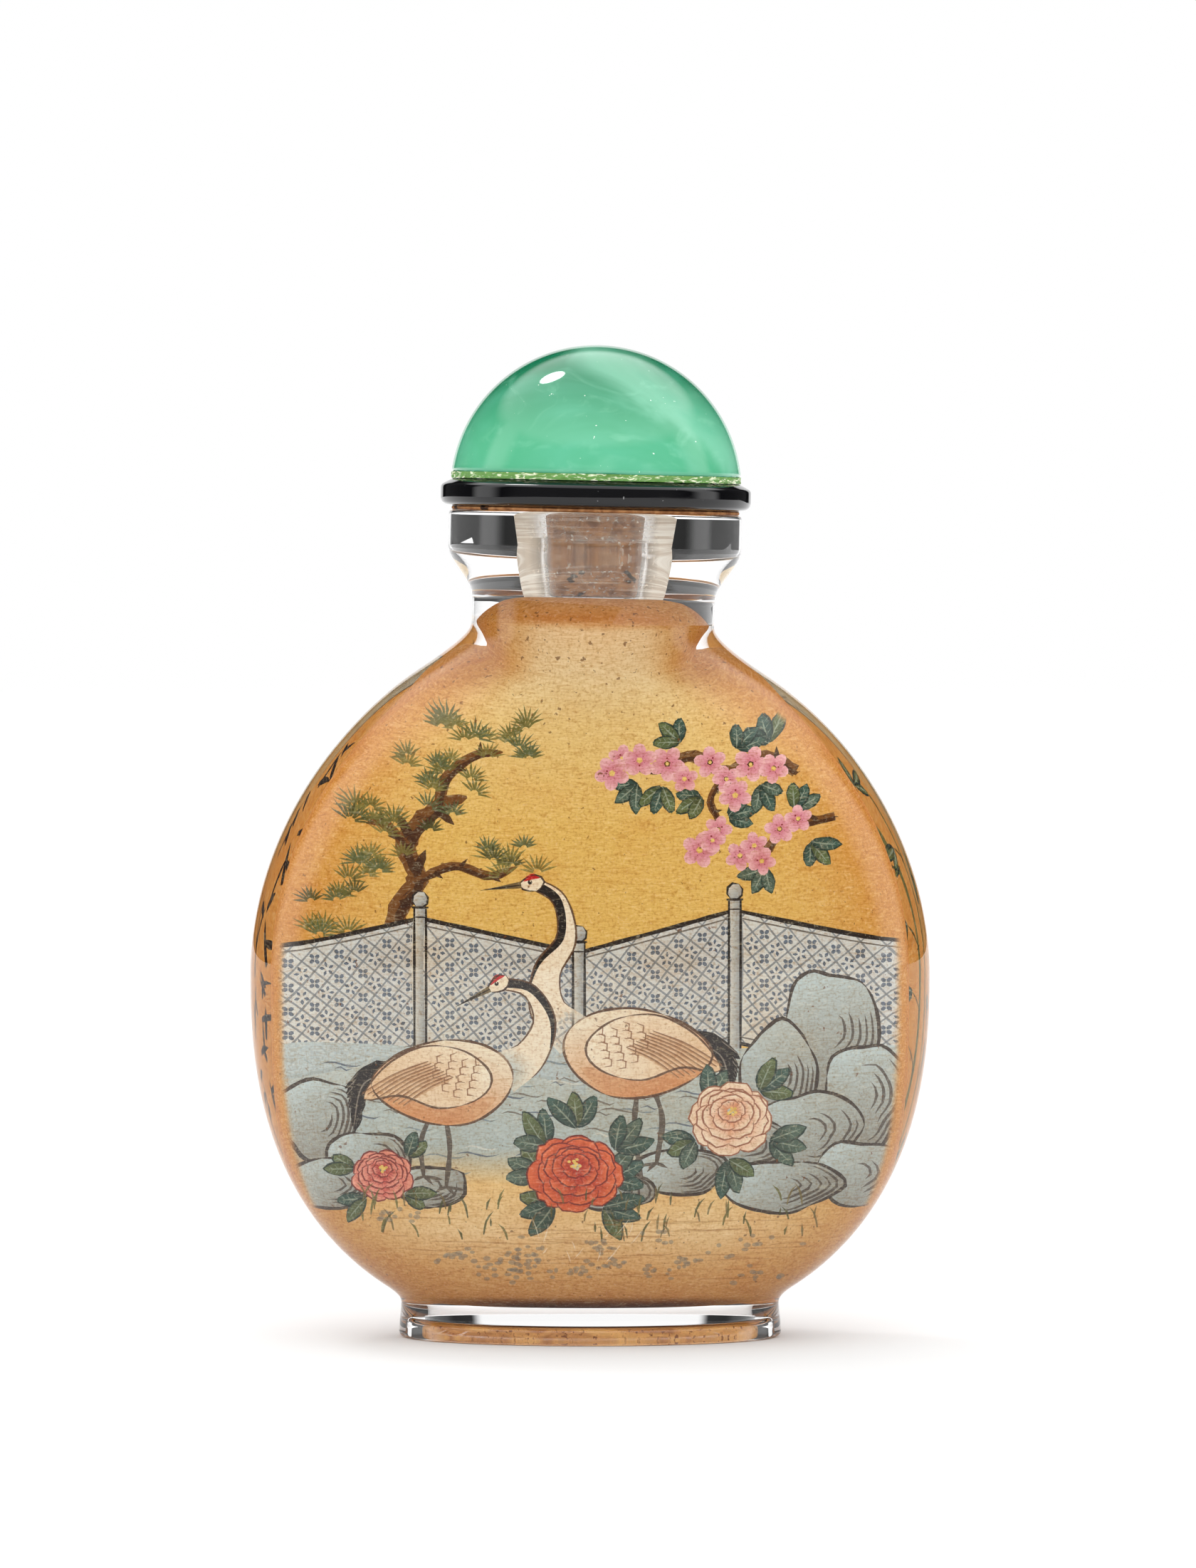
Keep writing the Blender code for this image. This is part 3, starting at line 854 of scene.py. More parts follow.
def crane(place, size, face, neck, gaze, legs):
    """A standing crane, drawn for one that looks left and turned over by face."""

    def put(points):
        return np.array(place, float) + np.array(points, float) * size * (face, 1)

    for leg in legs:
        sheet.stroke(put(leg), 0.4 * size, (96, 88, 78), 1.0, 0.8, 0.6)
        for across, drop in ((-1.5, 0.25), (-0.7, 0.65), (0.8, 0.35)):
            toe = np.array([(0, 0), (across / 2, -drop * 0.4), (across, -drop)]) + leg[-1]
            sheet.stroke(put(toe), 0.24 * size, (96, 88, 78), 1.0, 0.8, 0.1)
    for share in np.linspace(0, 1, 10):
        plume = np.array([(2.0 + 2.2 * share, 1.7 - 0.7 * share), (5.3 + 0.9 * share, 1.5 - 1.6 * share),
                          (7.6 - 0.7 * share, -0.2 - 3.2 * share + dice.uniform(-0.2, 0.2))])
        sheet.stroke(put(plume), 0.95 * size, INK, 1.0, 0.5, 0.05)
        sheet.stroke(put(plume + (0.1, 0.2)), 0.11 * size, (150, 140, 126), 0.8, 0.3, 0.1)
    body = curve(put([(-4.6, 2.3), (-2.6, 3.5), (0.4, 3.7), (3.6, 2.6), (5.6, 0.6), (4.6, -1.2),
                      (1.6, -2.6),
                      (-1.6, -2.7), (-4.0, -1.3), (-5.1, 0.6)]), 0.4, True)
    sheet.fill(body, shade(*put([(-1.5, 3.2), (0.5, -2.8)]), CREAM, PEACH))
    sheet.fill(curve(put([(-3.9, -0.6), (-1, -1), (2.6, -1.3), (4.2, -0.6), (1.6, -2.4), (-1.6, -2.5)]),
                     0.5, True),
               (206, 140, 88), 0.35)
    wing = curve(put([(-3.2, 1.6), (-1.2, 3.0), (1.8, 3.2), (4.6, 1.6), (6.2, -0.9), (3.4, -0.6),
                      (0.6, -1.5),
                      (-2.0, -1.0), (-3.4, 0.2)]), 0.4, True)
    sheet.fill(wing, shade(*put([(-2.5, 2.5), (5, -1)]), (246, 235, 210), (230, 196, 154)))
    for share in np.linspace(0, 1, 9):
        quill = np.array([(-0.6 + 1.9 * share, 0.9 + 1.2 * share), (1.3 + 2.5 * share, 0.02 + 1.05 * share),
                          (3.2 + 3.1 * share, -1.35 + 0.9 * share)])
        sheet.stroke(put(quill), 0.15 * size, (132, 92, 60), 0.9, 0.4, 0.5)
        sheet.stroke(put(quill + (0.05, -0.12)), 0.2 * size, (206, 160, 116), 0.5, 0.3, 0.3)
    for row in range(4):
        for share in (np.arange(5) + row % 2 / 2) / 5:
            x, z = -2.7 + row * 0.95 + share * 0.8, 2.15 + 0.15 * row - share * 2.9
            if row < 3 or share < 0.6:
                cup = [(x - 0.05, z + 0.34), (x + 0.38, z + 0.2), (x + 0.5, z - 0.1), (x + 0.3, z - 0.34),
                       (x - 0.1, z - 0.36)]
                sheet.stroke(put(cup), 0.13 * size, (146, 104, 72), 0.85, 0.3, 0.3)
    sheet.edge(wing, 0.17 * size, WARM_LINE, 0.9, 3)
    sheet.edge(body, 0.2 * size, WARM_LINE, 0.95, 4)

    line = curve(put(neck), 0.4)
    share = np.linspace(0, 1, len(line))[:, None]
    half = (1.25 * (1 - share) ** 1.5 + 0.42) * size * sideways(line)
    root = line[0]
    sheet.fill(np.vstack([line + half, (line - half)[::-1]]), (242, 229, 203),
               lambda points: np.clip(np.hypot(*(points - root).T) / (1.9 * size) - 0.25, 0, 1))
    first = int(len(line) * 0.36)
    inner = np.linspace(-0.9, 0.7, len(line) - first)[:, None]
    throat = half[first:] * face
    sheet.fill(np.vstack([line[first:] + throat, (line[first:] - throat * inner)[::-1]]), INK)
    for side in (1, -1):
        sheet.stroke((line + half * side)[len(line) // 6:], 0.15 * size, WARM_LINE, 0.9, 0.3, 0.5)

    head, way = np.array(neck[-1], float), np.array(gaze) / np.hypot(*gaze)
    up = np.array([-way[1], way[0]])
    up = up if up[1] > 0 else -up

    def about(*steps):
        return put([head + way * ahead + up * above for ahead, above in steps])

    skull = curve(about((-0.75, 0.1), (-0.1, 0.62), (0.75, 0.35), (1.15, 0), (0.7, -0.42), (-0.2, -0.55)),
                  0.25, True)
    sheet.fill(skull, (242, 230, 204))
    sheet.fill(curve(about((-0.55, 0.35), (0, 0.72), (0.6, 0.5), (0.8, 0.22), (0.1, 0.3)), 0.2, True),
               (196, 36, 40))
    sheet.edge(skull, 0.15 * size, (60, 40, 30), 0.95, 2)
    sheet.fill(about((0.95, 0.26), (2.4, 0.12), (3.9, 0), (2.3, -0.12), (0.95, -0.24)),
               shade(*about((1, 0), (3.9, 0)), (124, 106, 70), (60, 56, 46)))
    sheet.stroke(about((0.95, 0), (2.4, 0), (3.9, 0)), 0.1 * size, INK, 0.9, 0.6, 0.2)
    sheet.fill(oval(about((0.3, 0.12))[0], 0.34 * size, 0.34 * size, count=8), INK)
    sheet.fill(oval(about((0.26, 0.2))[0], 0.11 * size, 0.11 * size, count=5), CREAM)


def bank_dots(count, low, high):
    """Faint clusters of grey dots, and thin brown strokes, over the bare bank."""
    for _ in range(count * 4):
        x, z, half = dice.gauss(0, 9), dice.uniform(low, high), dice.uniform(0.7, 3)
        if abs(x) + half < half_across(z) - 1:
            sheet.stroke([(x - half, z), (x, z + dice.uniform(-0.12, 0.12)), (x + half, z)], 0.11,
                         (166, 106, 52), 0.28)
    for _ in range(count):
        x, z = dice.uniform(-15, 15), dice.uniform(low, high)
        for _ in range(dice.randrange(6, 13)):
            spot = (x + dice.gauss(0, 1.1), z + dice.gauss(0, 0.34))
            if abs(spot[0]) < half_across(z) - 2:
                dot = oval(spot, dice.uniform(0.3, 0.6), dice.uniform(0.25, 0.4), count=8)
                sheet.fill(dot, (132, 124, 112), 0.5)
                sheet.edge(dot, 0.08, (98, 88, 80), 0.5, 1)


# The front ground's rows up the wall, and its browner sides, which are painted shade.
sheet = Painting([
    (2.6, 96, 54, 22), (3.3, 120, 70, 28), (3.8, 206, 148, 84), (6, 222, 172, 108), (9, 240, 208, 152),
    (13, 236, 198, 128), (24, 226, 184, 98),
    (38, 226, 186, 98), (46, 230, 198, 128), (50, 232, 206, 156), (53.2, 234, 200, 150),
    (54.0, 204, 132, 62),
    (54.7, 214, 150, 84), (56, 196, 144, 94),
], (206, 144, 68))
for points, width, spurs in (
    ([(-13.2, 28.5), (-13.9, 32), (-12.4, 34.6), (-13.2, 37.2), (-10.9, 39.8), (-8.8, 40.6)], 1.55, 5),
    ([(-13.1, 37), (-14.8, 38.6), (-16, 38.5)], 0.75, 2),
    ([(-10.9, 39.8), (-10.2, 42), (-8.2, 43.6), (-6.2, 43.9)], 0.8, 3),
    ([(-12.6, 34.4), (-9.8, 35.6), (-7.2, 34.9), (-5.2, 35.6)], 0.7, 3),
):
    twig(points, width, spurs)
for x, z, wide, tall, count in (
    (-16, 39.2, 1.4, 0.8, 10), (-11, 41.6, 1.5, 1.0, 12), (-6.4, 44.2, 1.5, 0.8, 9), (-6, 36, 1.3, 0.6, 8),
    (-16.4, 34.6, 1.4, 1.0, 9), (-9.6, 45.4, 1.0, 0.6, 6), (-18, 31.5, 0.9, 1.2, 8),
    (-12.6, 37.6, 1.6, 0.8, 6),
):
    for _ in range(count):
        centre = np.array([x + dice.gauss(0, wide), z + dice.gauss(0, tall)])
        if abs(centre[0]) < half_across(centre[1] + 1) - 0.8:
            needle_fan(centre, dice.uniform(1.1, 1.6), math.pi / 2 + dice.uniform(-0.5, 0.5),
                       dice.choice((OLIVE, DARK_OLIVE, (122, 116, 58), (88, 98, 62))))
for points, width, spurs in (
    ([(14.6, 42.2), (12.2, 43.4), (9.6, 42.4), (7.2, 43.6), (4.6, 42.6), (2.2, 43.2)], 0.85, 5),
    ([(9.8, 42.4), (8.6, 40.4), (9.2, 38.6), (7.8, 36.8)], 0.55, 3),
    ([(17.4, 38.9), (14, 38.2), (12.4, 36.4), (10.6, 36.2)], 0.7, 3),
):
    twig(points, width, spurs)
for x, z, angle in (
    (12.6, 44.2, 1.9), (10.4, 44, 0.9), (6.4, 44.6, 2.4), (3.4, 41.6, 3.9), (8, 40.6, 3.6),
    (9.9, 39.2, 0.2),
    (12.2, 41.4, 5.2), (14.6, 39.6, 1), (12.6, 35.4, 4.2), (15.8, 37.2, 5.4), (5.2, 41.4, 4.4),
):
    leaf_spray((x, z), angle, 3, 2.0, 0.95)
for x, z in (
    (11.4, 42.9), (8.6, 43.2), (9.7, 41.9), (5.6, 43), (6.8, 42), (2.3, 43.3), (3.6, 43.2), (9.2, 38.4),
    (7.8, 36.7),
    (8.7, 37.5), (13.4, 38.2), (10.7, 36.3), (11.7, 36.9), (12.3, 36), (13.1, 42.4), (10.4, 40.6),
    (1.4, 42.6),
    (15, 38.9),
):
    plum_blossom((x + dice.uniform(-0.2, 0.2), z + dice.uniform(-0.2, 0.2)), dice.uniform(1.15, 1.6))

RAIL_HEIGHT = 9.6
rail_feet = [(-23.5, 19.4), (-12.2, 22.2), (-0.8, 19.8), (10.4, 22.8), (22.6, 20.0)]
for left, right in pairwise(rail_feet):
    rail_panel(left, right, RAIL_HEIGHT)
for x, z in rail_feet[1:-1]:
    rail_post(x, z - 0.8, RAIL_HEIGHT + 1.6)

pond = curve([(-23, 21.5), (-16, 22.6), (-8, 22), (-1, 22.8), (6, 22), (13, 22.4), (23, 21.6), (23, 14),
              (14, 12.6),
              (4, 13.6), (-8, 12.4), (-23, 13.4)], 0.8, True)
sheet.fill(pond, shade((0, 22), (0, 13), (188, 200, 198), (168, 188, 192)),
           lambda points: np.clip((points[:, 1] - 12.4) / 2.6, 0, 1) * 0.92)
for _ in range(120):
    x, z, half = dice.uniform(-21, 21), dice.uniform(13.2, 21.6), dice.uniform(0.5, 1.7)
    wave = [(x - half, z), (x - half / 2, z + 0.17), (x, z), (x + half / 2, z - 0.14), (x + half, z + 0.03)]
    sheet.stroke(wave, 0.13, dice.choice((SLATE, (120, 138, 146), (216, 220, 210), (104, 96, 84))), 0.75,
                 0.1, 0.05)
stones([(17.2, 23.5, 6.6, 9, 0.1), (13.6, 20.4, 5.6, 7.4, -0.3), (19.6, 18.6, 5.4, 8, 0.2),
        (15.8, 16.2, 7.6, 5.8, 0.1),
        (11.2, 15.4, 6.4, 4.2, -0.1), (19.2, 13, 5.8, 4.8, 0.3), (6.6, 13.4, 6.8, 3.4, 0.05),
        (13.8, 12.2, 8.8, 3.8, 0),
        (1.6, 12, 6.2, 2.8, 0)])
stones([(-19.4, 17, 5.4, 6, 0.2), (-16, 14, 6, 4.4, -0.2), (-11.6, 12.2, 5.6, 3, 0.1),
        (-18.6, 12.2, 5.6, 3.8, 0)])
crane((3.2, 21.6), 1.0, 1, [(-4.2, 1.6), (-6.2, 3.6), (-6.3, 6.4), (-4.9, 8.8), (-5.4, 11.6), (-7.2, 12.8)],
      (-1, -0.14), ([(0.2, -2.2), (0, -5.2), (0.5, -8.6)], [(1.4, -2.2), (2, -4.4), (1.6, -7.6)]))
crane((-10.4, 19.4), 0.95, -1, [(-4.3, 1.2), (-6.4, 2.6), (-7.5, 5.2), (-6.4, 7.6), (-4.2, 8.2)],
      (1, -0.55), ([(0, -2.2), (-0.3, -4.6), (0, -7.6)], [(1.2, -2.2), (1.9, -4.2), (1.7, -6.8)]))

for x, z, angle in ((-3.6, 13.2, 2.7), (-3.2, 15.2, 2.2), (1.4, 13, 0.3), (1.8, 15, 0.8), (-1, 16.6, 1.6),
                    (-2.6, 11, 3.5), (1, 10.8, -0.4)):
    leaf_spray((x, z), angle, 3, 2.8, 1.25)
peony((-1, 13.2), 3.5, (182, 46, 22), (232, 116, 66), (112, 24, 16))
for x, z, angle in ((8.6, 18.6, 1.0), (12.2, 19.2, 0.6), (7.6, 15.6, 3.6), (13, 15.6, -0.3),
                    (10, 14.2, -1.2)):
    leaf_spray((x, z), angle, 3, 2.6, 1.2)
peony((10.2, 17.2), 3.2, (226, 156, 116), (246, 228, 200), (150, 86, 58))
for x, z, angle in ((-17, 13.4, 2.9), (-13.2, 14.4, 0.9), (-16.2, 11.2, 3.6), (-13.4, 11.6, -0.2)):
    leaf_spray((x, z), angle, 2, 2.1, 1.0)
peony((-15, 13), 2.3, (196, 74, 66), (238, 166, 142), (120, 36, 34))
for _ in range(70):
    x, z, tall = dice.uniform(-17, 17), dice.uniform(8.2, 11.4), dice.uniform(0.6, 1.8)
    lean = dice.uniform(-0.6, 0.6) * tall
    sheet.stroke([(x, z), (x + lean * 0.3, z + tall * 0.6), (x + lean, z + tall)], 0.16,
                 dice.choice((OLIVE, DARK_OLIVE, (120, 104, 60))), 0.8, 0.6, 0.0)
bank_dots(18, 5.2, 10)
for _ in range(12):
    scratch = np.array([dice.uniform(-4, 4), dice.uniform(7, 9.4)])
    way = aim(dice.choice((0.9, 1.3, 1.9)), dice.uniform(0.3, 0.9))
    sheet.stroke([scratch - way, scratch + (0.05, 0), scratch + way], 0.09, (250, 240, 216), 0.6)
painted_skin("painting_front", sheet, -1, paint)

# The back picture: small hills over a lake, with bamboo on one side and columns of short strokes on
# the other. It is plainer than the front, and the sides of the glass show it; its browner ground is painted
# shade there.
HILL_LINE = (96, 84, 70)
BAMBOO = (96, 104, 58)


def hill(crest, foot, light, dark):
    """A hill in a wash that fades towards the water, with broken lines down its shaded side."""
    ridge = curve(crest, 0.5)
    top = ridge[:, 1].max()
    sheet.fill(np.vstack([ridge, (ridge[-1][0], foot), (ridge[0][0], foot)]),
               shade((0, top), (0, foot), dark, light),
               lambda points: np.clip((points[:, 1] - foot) / (top - foot) * 1.4, 0, 0.85))
    sheet.stroke(ridge, 0.24, HILL_LINE, 0.8, 0.2, 0.2)
    for _ in range(len(ridge) // 2):
        spot = dice.choice(ridge) - (0, dice.uniform(0.3, 0.5 * (top - foot)))
        if spot[1] > foot + 0.8:
            drop = aim(dice.uniform(-1.9, -1.1), dice.uniform(0.6, 1.8))
            sheet.stroke([spot, spot + drop / 2, spot + drop], 0.14, HILL_LINE, 0.5, 0.4, 0.0)


def bamboo(foot, head, bend):
    """A jointed stem with sprays of narrow leaves."""
    foot, head = np.array(foot, float), np.array(head, float)
    stem = curve([foot, (foot + head) / 2 + (bend, 0), head], 0.5)
    sheet.stroke(stem, 0.5, BAMBOO, 0.9, 0.8, 0.5)
    for place in range(5, len(stem) - 1, 6):
        joint = stem[place]
        sheet.stroke([joint - (0.4, 0), joint, joint + (0.4, 0.04)], 0.16, DARK_OLIVE, 0.9)
        way = dice.choice((1, -1))
        tip = joint + aim(math.pi / 2 - way * 0.9, 1.8)
        sheet.stroke([joint, (joint + tip) / 2, tip], 0.14, DARK_OLIVE, 0.9)
        for _ in range(4):
            leaf(tip, math.pi / 2 - way * dice.uniform(0.9, 2.6), dice.uniform(1.6, 2.6), 0.5, BAMBOO)


def row_of_strokes(x, top, count):
    """A column of small clusters of short brush strokes."""
    for place in range(count):
        middle = np.array([x + dice.uniform(-0.1, 0.1), top - 3.6 * place])
        for _ in range(dice.randrange(5, 8)):
            spot = middle + (dice.uniform(-0.8, 0.8), dice.uniform(-1.1, 1.1))
            way = aim(dice.choice((0.05, 0.05, 1.5, 0.8, 2.4)), dice.uniform(0.5, 1.1))
            sheet.stroke([spot - way, spot + (0.04, 0.06), spot + way], 0.36, INK, 0.92, 0.7, 0.2)


# The back ground's rows, browner than the front's, and its browner sides are painted shade.
sheet = Painting([
    (2.6, 150, 92, 40), (6, 200, 136, 66), (14, 214, 152, 76), (40, 216, 154, 76), (50, 214, 160, 98),
    (56, 170, 112, 60),
], (204, 138, 64))
for crest, foot, light, dark in (
    ([(-8, 33), (-5, 38.5), (-2.6, 36), (0, 34.4), (2, 33)], 30, (220, 190, 130), (176, 180, 172)),
    ([(-2, 32), (0.6, 35), (3.4, 40), (5.6, 37), (8, 33)], 29, (220, 190, 130), (160, 170, 168)),
    ([(-8, 29), (-4, 32), (-1, 31), (2, 33), (6, 29.6)], 26, (214, 184, 120), (146, 156, 150)),
):
    hill(crest, foot, light, dark)
for _ in range(46):
    x, z, half = dice.uniform(-6, 6), dice.uniform(15, 26), dice.uniform(0.8, 2.2)
    wave = [(x - half, z), (x - half / 2, z + 0.15), (x, z), (x + half / 2, z - 0.12), (x + half, z + 0.03)]
    sheet.stroke(wave, 0.13, dice.choice((SLATE, (132, 148, 152), (170, 120, 60))), 0.6, 0.1, 0.05)
for x, z in ((-4, 43), (-1.6, 44.2), (1.4, 42.6)):
    sheet.stroke([(x - 1, z + 0.4), (x - 0.4, z + 0.5), (x, z), (x + 0.4, z + 0.5), (x + 1, z + 0.35)],
                 0.18, INK, 0.9)
stones([(-3.4, 12.6, 5.4, 3.6, -0.1), (2.6, 11.6, 6.2, 3.2, 0.1), (-1, 10.4, 5.6, 2.4, 0)])
bamboo((-12.6, 13), (-11.4, 38), 0.8)
bamboo((-10.4, 12.6), (-8.8, 33), 0.5)
for x, top, count in ((11.8, 37.5, 6), (8.7, 35, 5), (15.2, 34.5, 5), (-15.4, 20.5, 2)):
    row_of_strokes(x, top, count)
bank_dots(14, 5.2, 9)
painted_skin("painting_back", sheet, 1, paint)

# The foot's recess: a film on its roof and wall, ochre and speckled, which is painted light standing in for
# the painting's amber glow seen down in the recess, so the foot looks ochre where the glass round it is
# clear.
FILM_INSET = 0.02 * MM
film_rings = []
for inset, height in (
    (9 * MM, FOOT_RECESS), (5 * MM, FOOT_RECESS), (1.5 * MM, FOOT_RECESS),
    *quarter_round(FOOT_EDGE_ROUND, FOOT_RECESS, 0, FOOT_RECESS - FOOT_EDGE_ROUND, 5, False),
    (0, 0.5 * MM), (0, 0.25 * MM),
):
    half_width = FOOT_WIDTH / 2 - FOOT_RING_WIDTH - inset
    half_depth = FOOT_DEPTH / 2 - FOOT_RING_WIDTH - inset
    half_depth = max(half_depth, half_width * 0.2)
    film_rings.append(ring(half_width - FILM_INSET, half_depth - FILM_INSET, height - FILM_INSET))
# Painted light: ochre colour in place of the painting's amber glow in the recess.
painted_glow = Finish("recess_painted_glow", Roughness=0.7, Specular_IOR_Level=0.3)
spot = painted_glow.place()
clouds = painted_glow.noise(spot, (260, 500, 900), 4.0, 1.2)
grains = painted_glow.noise(spot, (3000, 3000, 3000), 3.0)
ochre = painted_glow.mix(clouds.step(0.3, 0.7), colour(196, 128, 72), colour(232, 176, 104))
painted_glow.wear(
    Base_Color=painted_glow.mix(grains.step(0.56, 0.7), ochre, colour(132, 78, 40)),
    Alpha=clouds.step(0.2, 0.6) * 0.25 + grains.step(0.4, 0.6) * 0.12 + 0.6,
)
as_piece("recess_painted_glow", loft(film_rings, 96, False), painted_glow.material)


# The bore: ground by hand down through the neck, so its wall is frosted and ringed. The bloom is a
# thin skin in the glass at the bore's wall, whiter where the grinding bit deeper.
FROST_INSET = 0.02 * MM
frost_levels = np.linspace(BORE_FOOT - 0.3 * MM, RIM_TOP - RIM_EDGE_ROUND, 20)
frost_rings = [
    ring(bore_radius(height) + FROST_INSET, bore_radius(height) + FROST_INSET,
         height) for height in frost_levels
]
frost = Finish("frost", Roughness=1.0, Specular_IOR_Level=0.0)
spot = frost.place()
cuts = frost.noise(spot, (160, 160, 5400), 4.0, 0.4)
patches = frost.noise(spot, (520, 520, 300), 3.0, 0.5)
grit = frost.noise(spot, (3800, 3800, 3800), 2.0)
grazed = frost.node("LayerWeight", {}, {"Blend": 0.5}, "Facing")
veil = cuts.step(0.45, 0.8) * 0.2 + patches.step(0.4, 0.7) * 0.14 + grit.step(0.6, 0.68) * 0.35 + 0.04
frost.wear(
    Base_Color=frost.mix(cuts.step(0.38, 0.66), colour(218, 206, 188), colour(248, 244, 232)),
    Alpha=(veil + grazed.step(0.08, 0.5) * 0.85).maths("MINIMUM", 0.97),
)
as_piece("bore_frost", loft(frost_rings, 96, False), frost.material)


# The stopper's cork: a plug cut to the bore, glued under the collar with a thin washer of cork that
# rests on the rim. It is brown, dry and pitted.
PIECE_GAP = 0.3 * MM
CORK_LENGTH = 6.0 * MM
CORK_EDGE_ROUND = 0.4 * MM
WASHER_RADIUS = 10.8 * MM
CORK_FOOT = RIM_TOP - CORK_LENGTH
COLLAR_FOOT = RIM_TOP + PIECE_GAP
cork = Finish("cork", Roughness=0.95, Specular_IOR_Level=0.15)
spot = cork.place()
cells = cork.noise(spot, (1500, 1500, 1100), 4.0, 0.6)
streaks = cork.noise(spot, (500, 500, 2600), 3.0)
pits = cork.noise(spot, (620, 620, 700), 2.0)
barked = cork.mix(cells.step(0.3, 0.7), colour(116, 74, 44), colour(168, 118, 76))
barked = cork.mix(streaks.step(0.5, 0.8) * 0.4, barked, colour(206, 160, 112))
cork.wear(Base_Color=cork.mix(pits.step(0.63, 0.67), barked, colour(52, 34, 24)))
cork.bump(cells, 0.08 * MM, 0.6)


def cork_rings():
    """Up the plug from its rounded lower edge."""
    radius = bore_radius(CORK_FOOT) - PIECE_GAP
    for size, height in quarter_round(
        radius - CORK_EDGE_ROUND, CORK_FOOT, radius, CORK_FOOT + CORK_EDGE_ROUND, 4, False
    ):
        yield ring(size, size, height)
    for height in np.linspace(CORK_FOOT + 2 * CORK_EDGE_ROUND, RIM_TOP, 10):
        yield ring(bore_radius(height) - PIECE_GAP, bore_radius(height) - PIECE_GAP, height)


plug = as_piece("cork_plug", loft(list(cork_rings()), 96), cork.material)
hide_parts("stopper_cork")
washer_rings = [
    ring(WASHER_RADIUS - inset, WASHER_RADIUS - inset, RIM_TOP + height)
    for inset, height in ((0.1 * MM, 0.01 * MM), (0, 0.08 * MM), (0, 0.22 * MM), (0.1 * MM, 0.29 * MM))
]
as_piece("cork_washer", loft(washer_rings, 96), cork.material)


# The collar: a ground and polished disc of black glass with sloping upper and lower edges.
COLLAR_RADIUS = 11.65 * MM
COLLAR_THICKNESS = 2.05 * MM
COLLAR_TOP_SLOPE_WIDTH = 0.88 * MM
COLLAR_TOP_SLOPE_DROP = 0.48 * MM
COLLAR_UNDERCUT_WIDTH = 0.67 * MM
COLLAR_UNDERCUT_RISE = 0.46 * MM
COLLAR_SOFTENING = 0.22 * MM
COLLAR_TOP = COLLAR_FOOT + COLLAR_THICKNESS
black = Finish("black_glass", IOR=1.5)
spot = black.place()
dust = black.noise(spot, (2600, 2600, 2600), 2.0)
smears = black.noise(spot, (260, 260, 700), 3.0, 1.0)
black.wear(
    Base_Color=black.mix(dust.step(0.74, 0.78) * 0.5, (0.001, 0.001, 0.002, 1), colour(150, 150, 150)),
    Roughness=smears.step(0.5, 0.8) * 0.10 + 0.03,
)


def collar_rings():
    """Up the collar's edge: undercut, waist and upper slope, with the corners a little soft."""
    corners = [
        (COLLAR_RADIUS - COLLAR_UNDERCUT_WIDTH, COLLAR_FOOT),
        (COLLAR_RADIUS - 0.2 * MM, COLLAR_FOOT + 0.14 * MM),
        (COLLAR_RADIUS, COLLAR_FOOT + COLLAR_UNDERCUT_RISE),
        (COLLAR_RADIUS, COLLAR_TOP - COLLAR_TOP_SLOPE_DROP),
        (COLLAR_RADIUS - COLLAR_TOP_SLOPE_WIDTH, COLLAR_TOP),
    ]
    yield ring(corners[0][0] * 0.5, corners[0][0] * 0.5, COLLAR_FOOT)
    yield ring(corners[0][0] * 0.95, corners[0][0] * 0.95, COLLAR_FOOT)
    for before, corner, after in zip([(0, COLLAR_FOOT), *corners], corners,
                                     [*corners[1:], (0, COLLAR_TOP)]):
        here = Vector(corner)
        start = here + (Vector(before) - here).normalized() * COLLAR_SOFTENING
        end = here + (Vector(after) - here).normalized() * COLLAR_SOFTENING
        for share in (0, 0.25, 0.5, 0.75, 1):
            size, height = start * (1 - share) ** 2 + here * (2 * share * (1 - share)) + end * share**2
            yield ring(size, size, height)
    yield ring(corners[-1][0] * 0.95, corners[-1][0] * 0.95, COLLAR_TOP)
    yield ring(corners[-1][0] * 0.5, corners[-1][0] * 0.5, COLLAR_TOP)


disc = as_piece("collar_disc", loft(list(collar_rings()), 144), black.material)
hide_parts("stopper_collar")


# The dome: a polished cabochon of cloudy green glass, nearly half a ball, flat underneath. Its colour
# also holds painted light: lighter low down, darker at the top, and a diagonal painted highlight.
DOME_RADIUS = 10.95 * MM
DOME_HEIGHT = 9.9 * MM
DOME_EDGE_ROUND = 0.5 * MM
DOME_FOOT = COLLAR_TOP + PIECE_GAP
DOME_CENTRE = DOME_FOOT + DOME_HEIGHT - DOME_RADIUS


def dome_rings():
    """Out over the flat underside, round its edge and up to the top."""
    seam = DOME_FOOT + DOME_EDGE_ROUND
    wide = math.sqrt(DOME_RADIUS**2 - (seam - DOME_CENTRE) ** 2)
    yield ring(wide * 0.5, wide * 0.5, DOME_FOOT)
    yield ring(wide * 0.9, wide * 0.9, DOME_FOOT)
    for size, height in quarter_round(wide - DOME_EDGE_ROUND, DOME_FOOT, wide, seam, 6, False):
        yield ring(size, size, height)
    first = math.asin((seam - DOME_CENTRE) / DOME_RADIUS)
    for angle in np.linspace(first, math.radians(89), 60)[1:]:
        size = DOME_RADIUS * math.cos(angle)
        yield ring(size, size, DOME_CENTRE + DOME_RADIUS * math.sin(angle))


jade = Finish("green_glass", IOR=1.5, Subsurface_Weight=0.15, Subsurface_Scale=0.002)
jade.shader.inputs["Subsurface Radius"].default_value = (0.6, 1.0, 0.8)
spot = jade.place()
across, upwards = (jade.node("SeparateXYZ", {}, {"Vector": spot}, axis) for axis in "XZ")
swirl = jade.noise(spot, (90, 90, 130), 3.0, 1.2)
wisps = jade.noise(spot, (240, 160, 420), 4.0, 1.8)
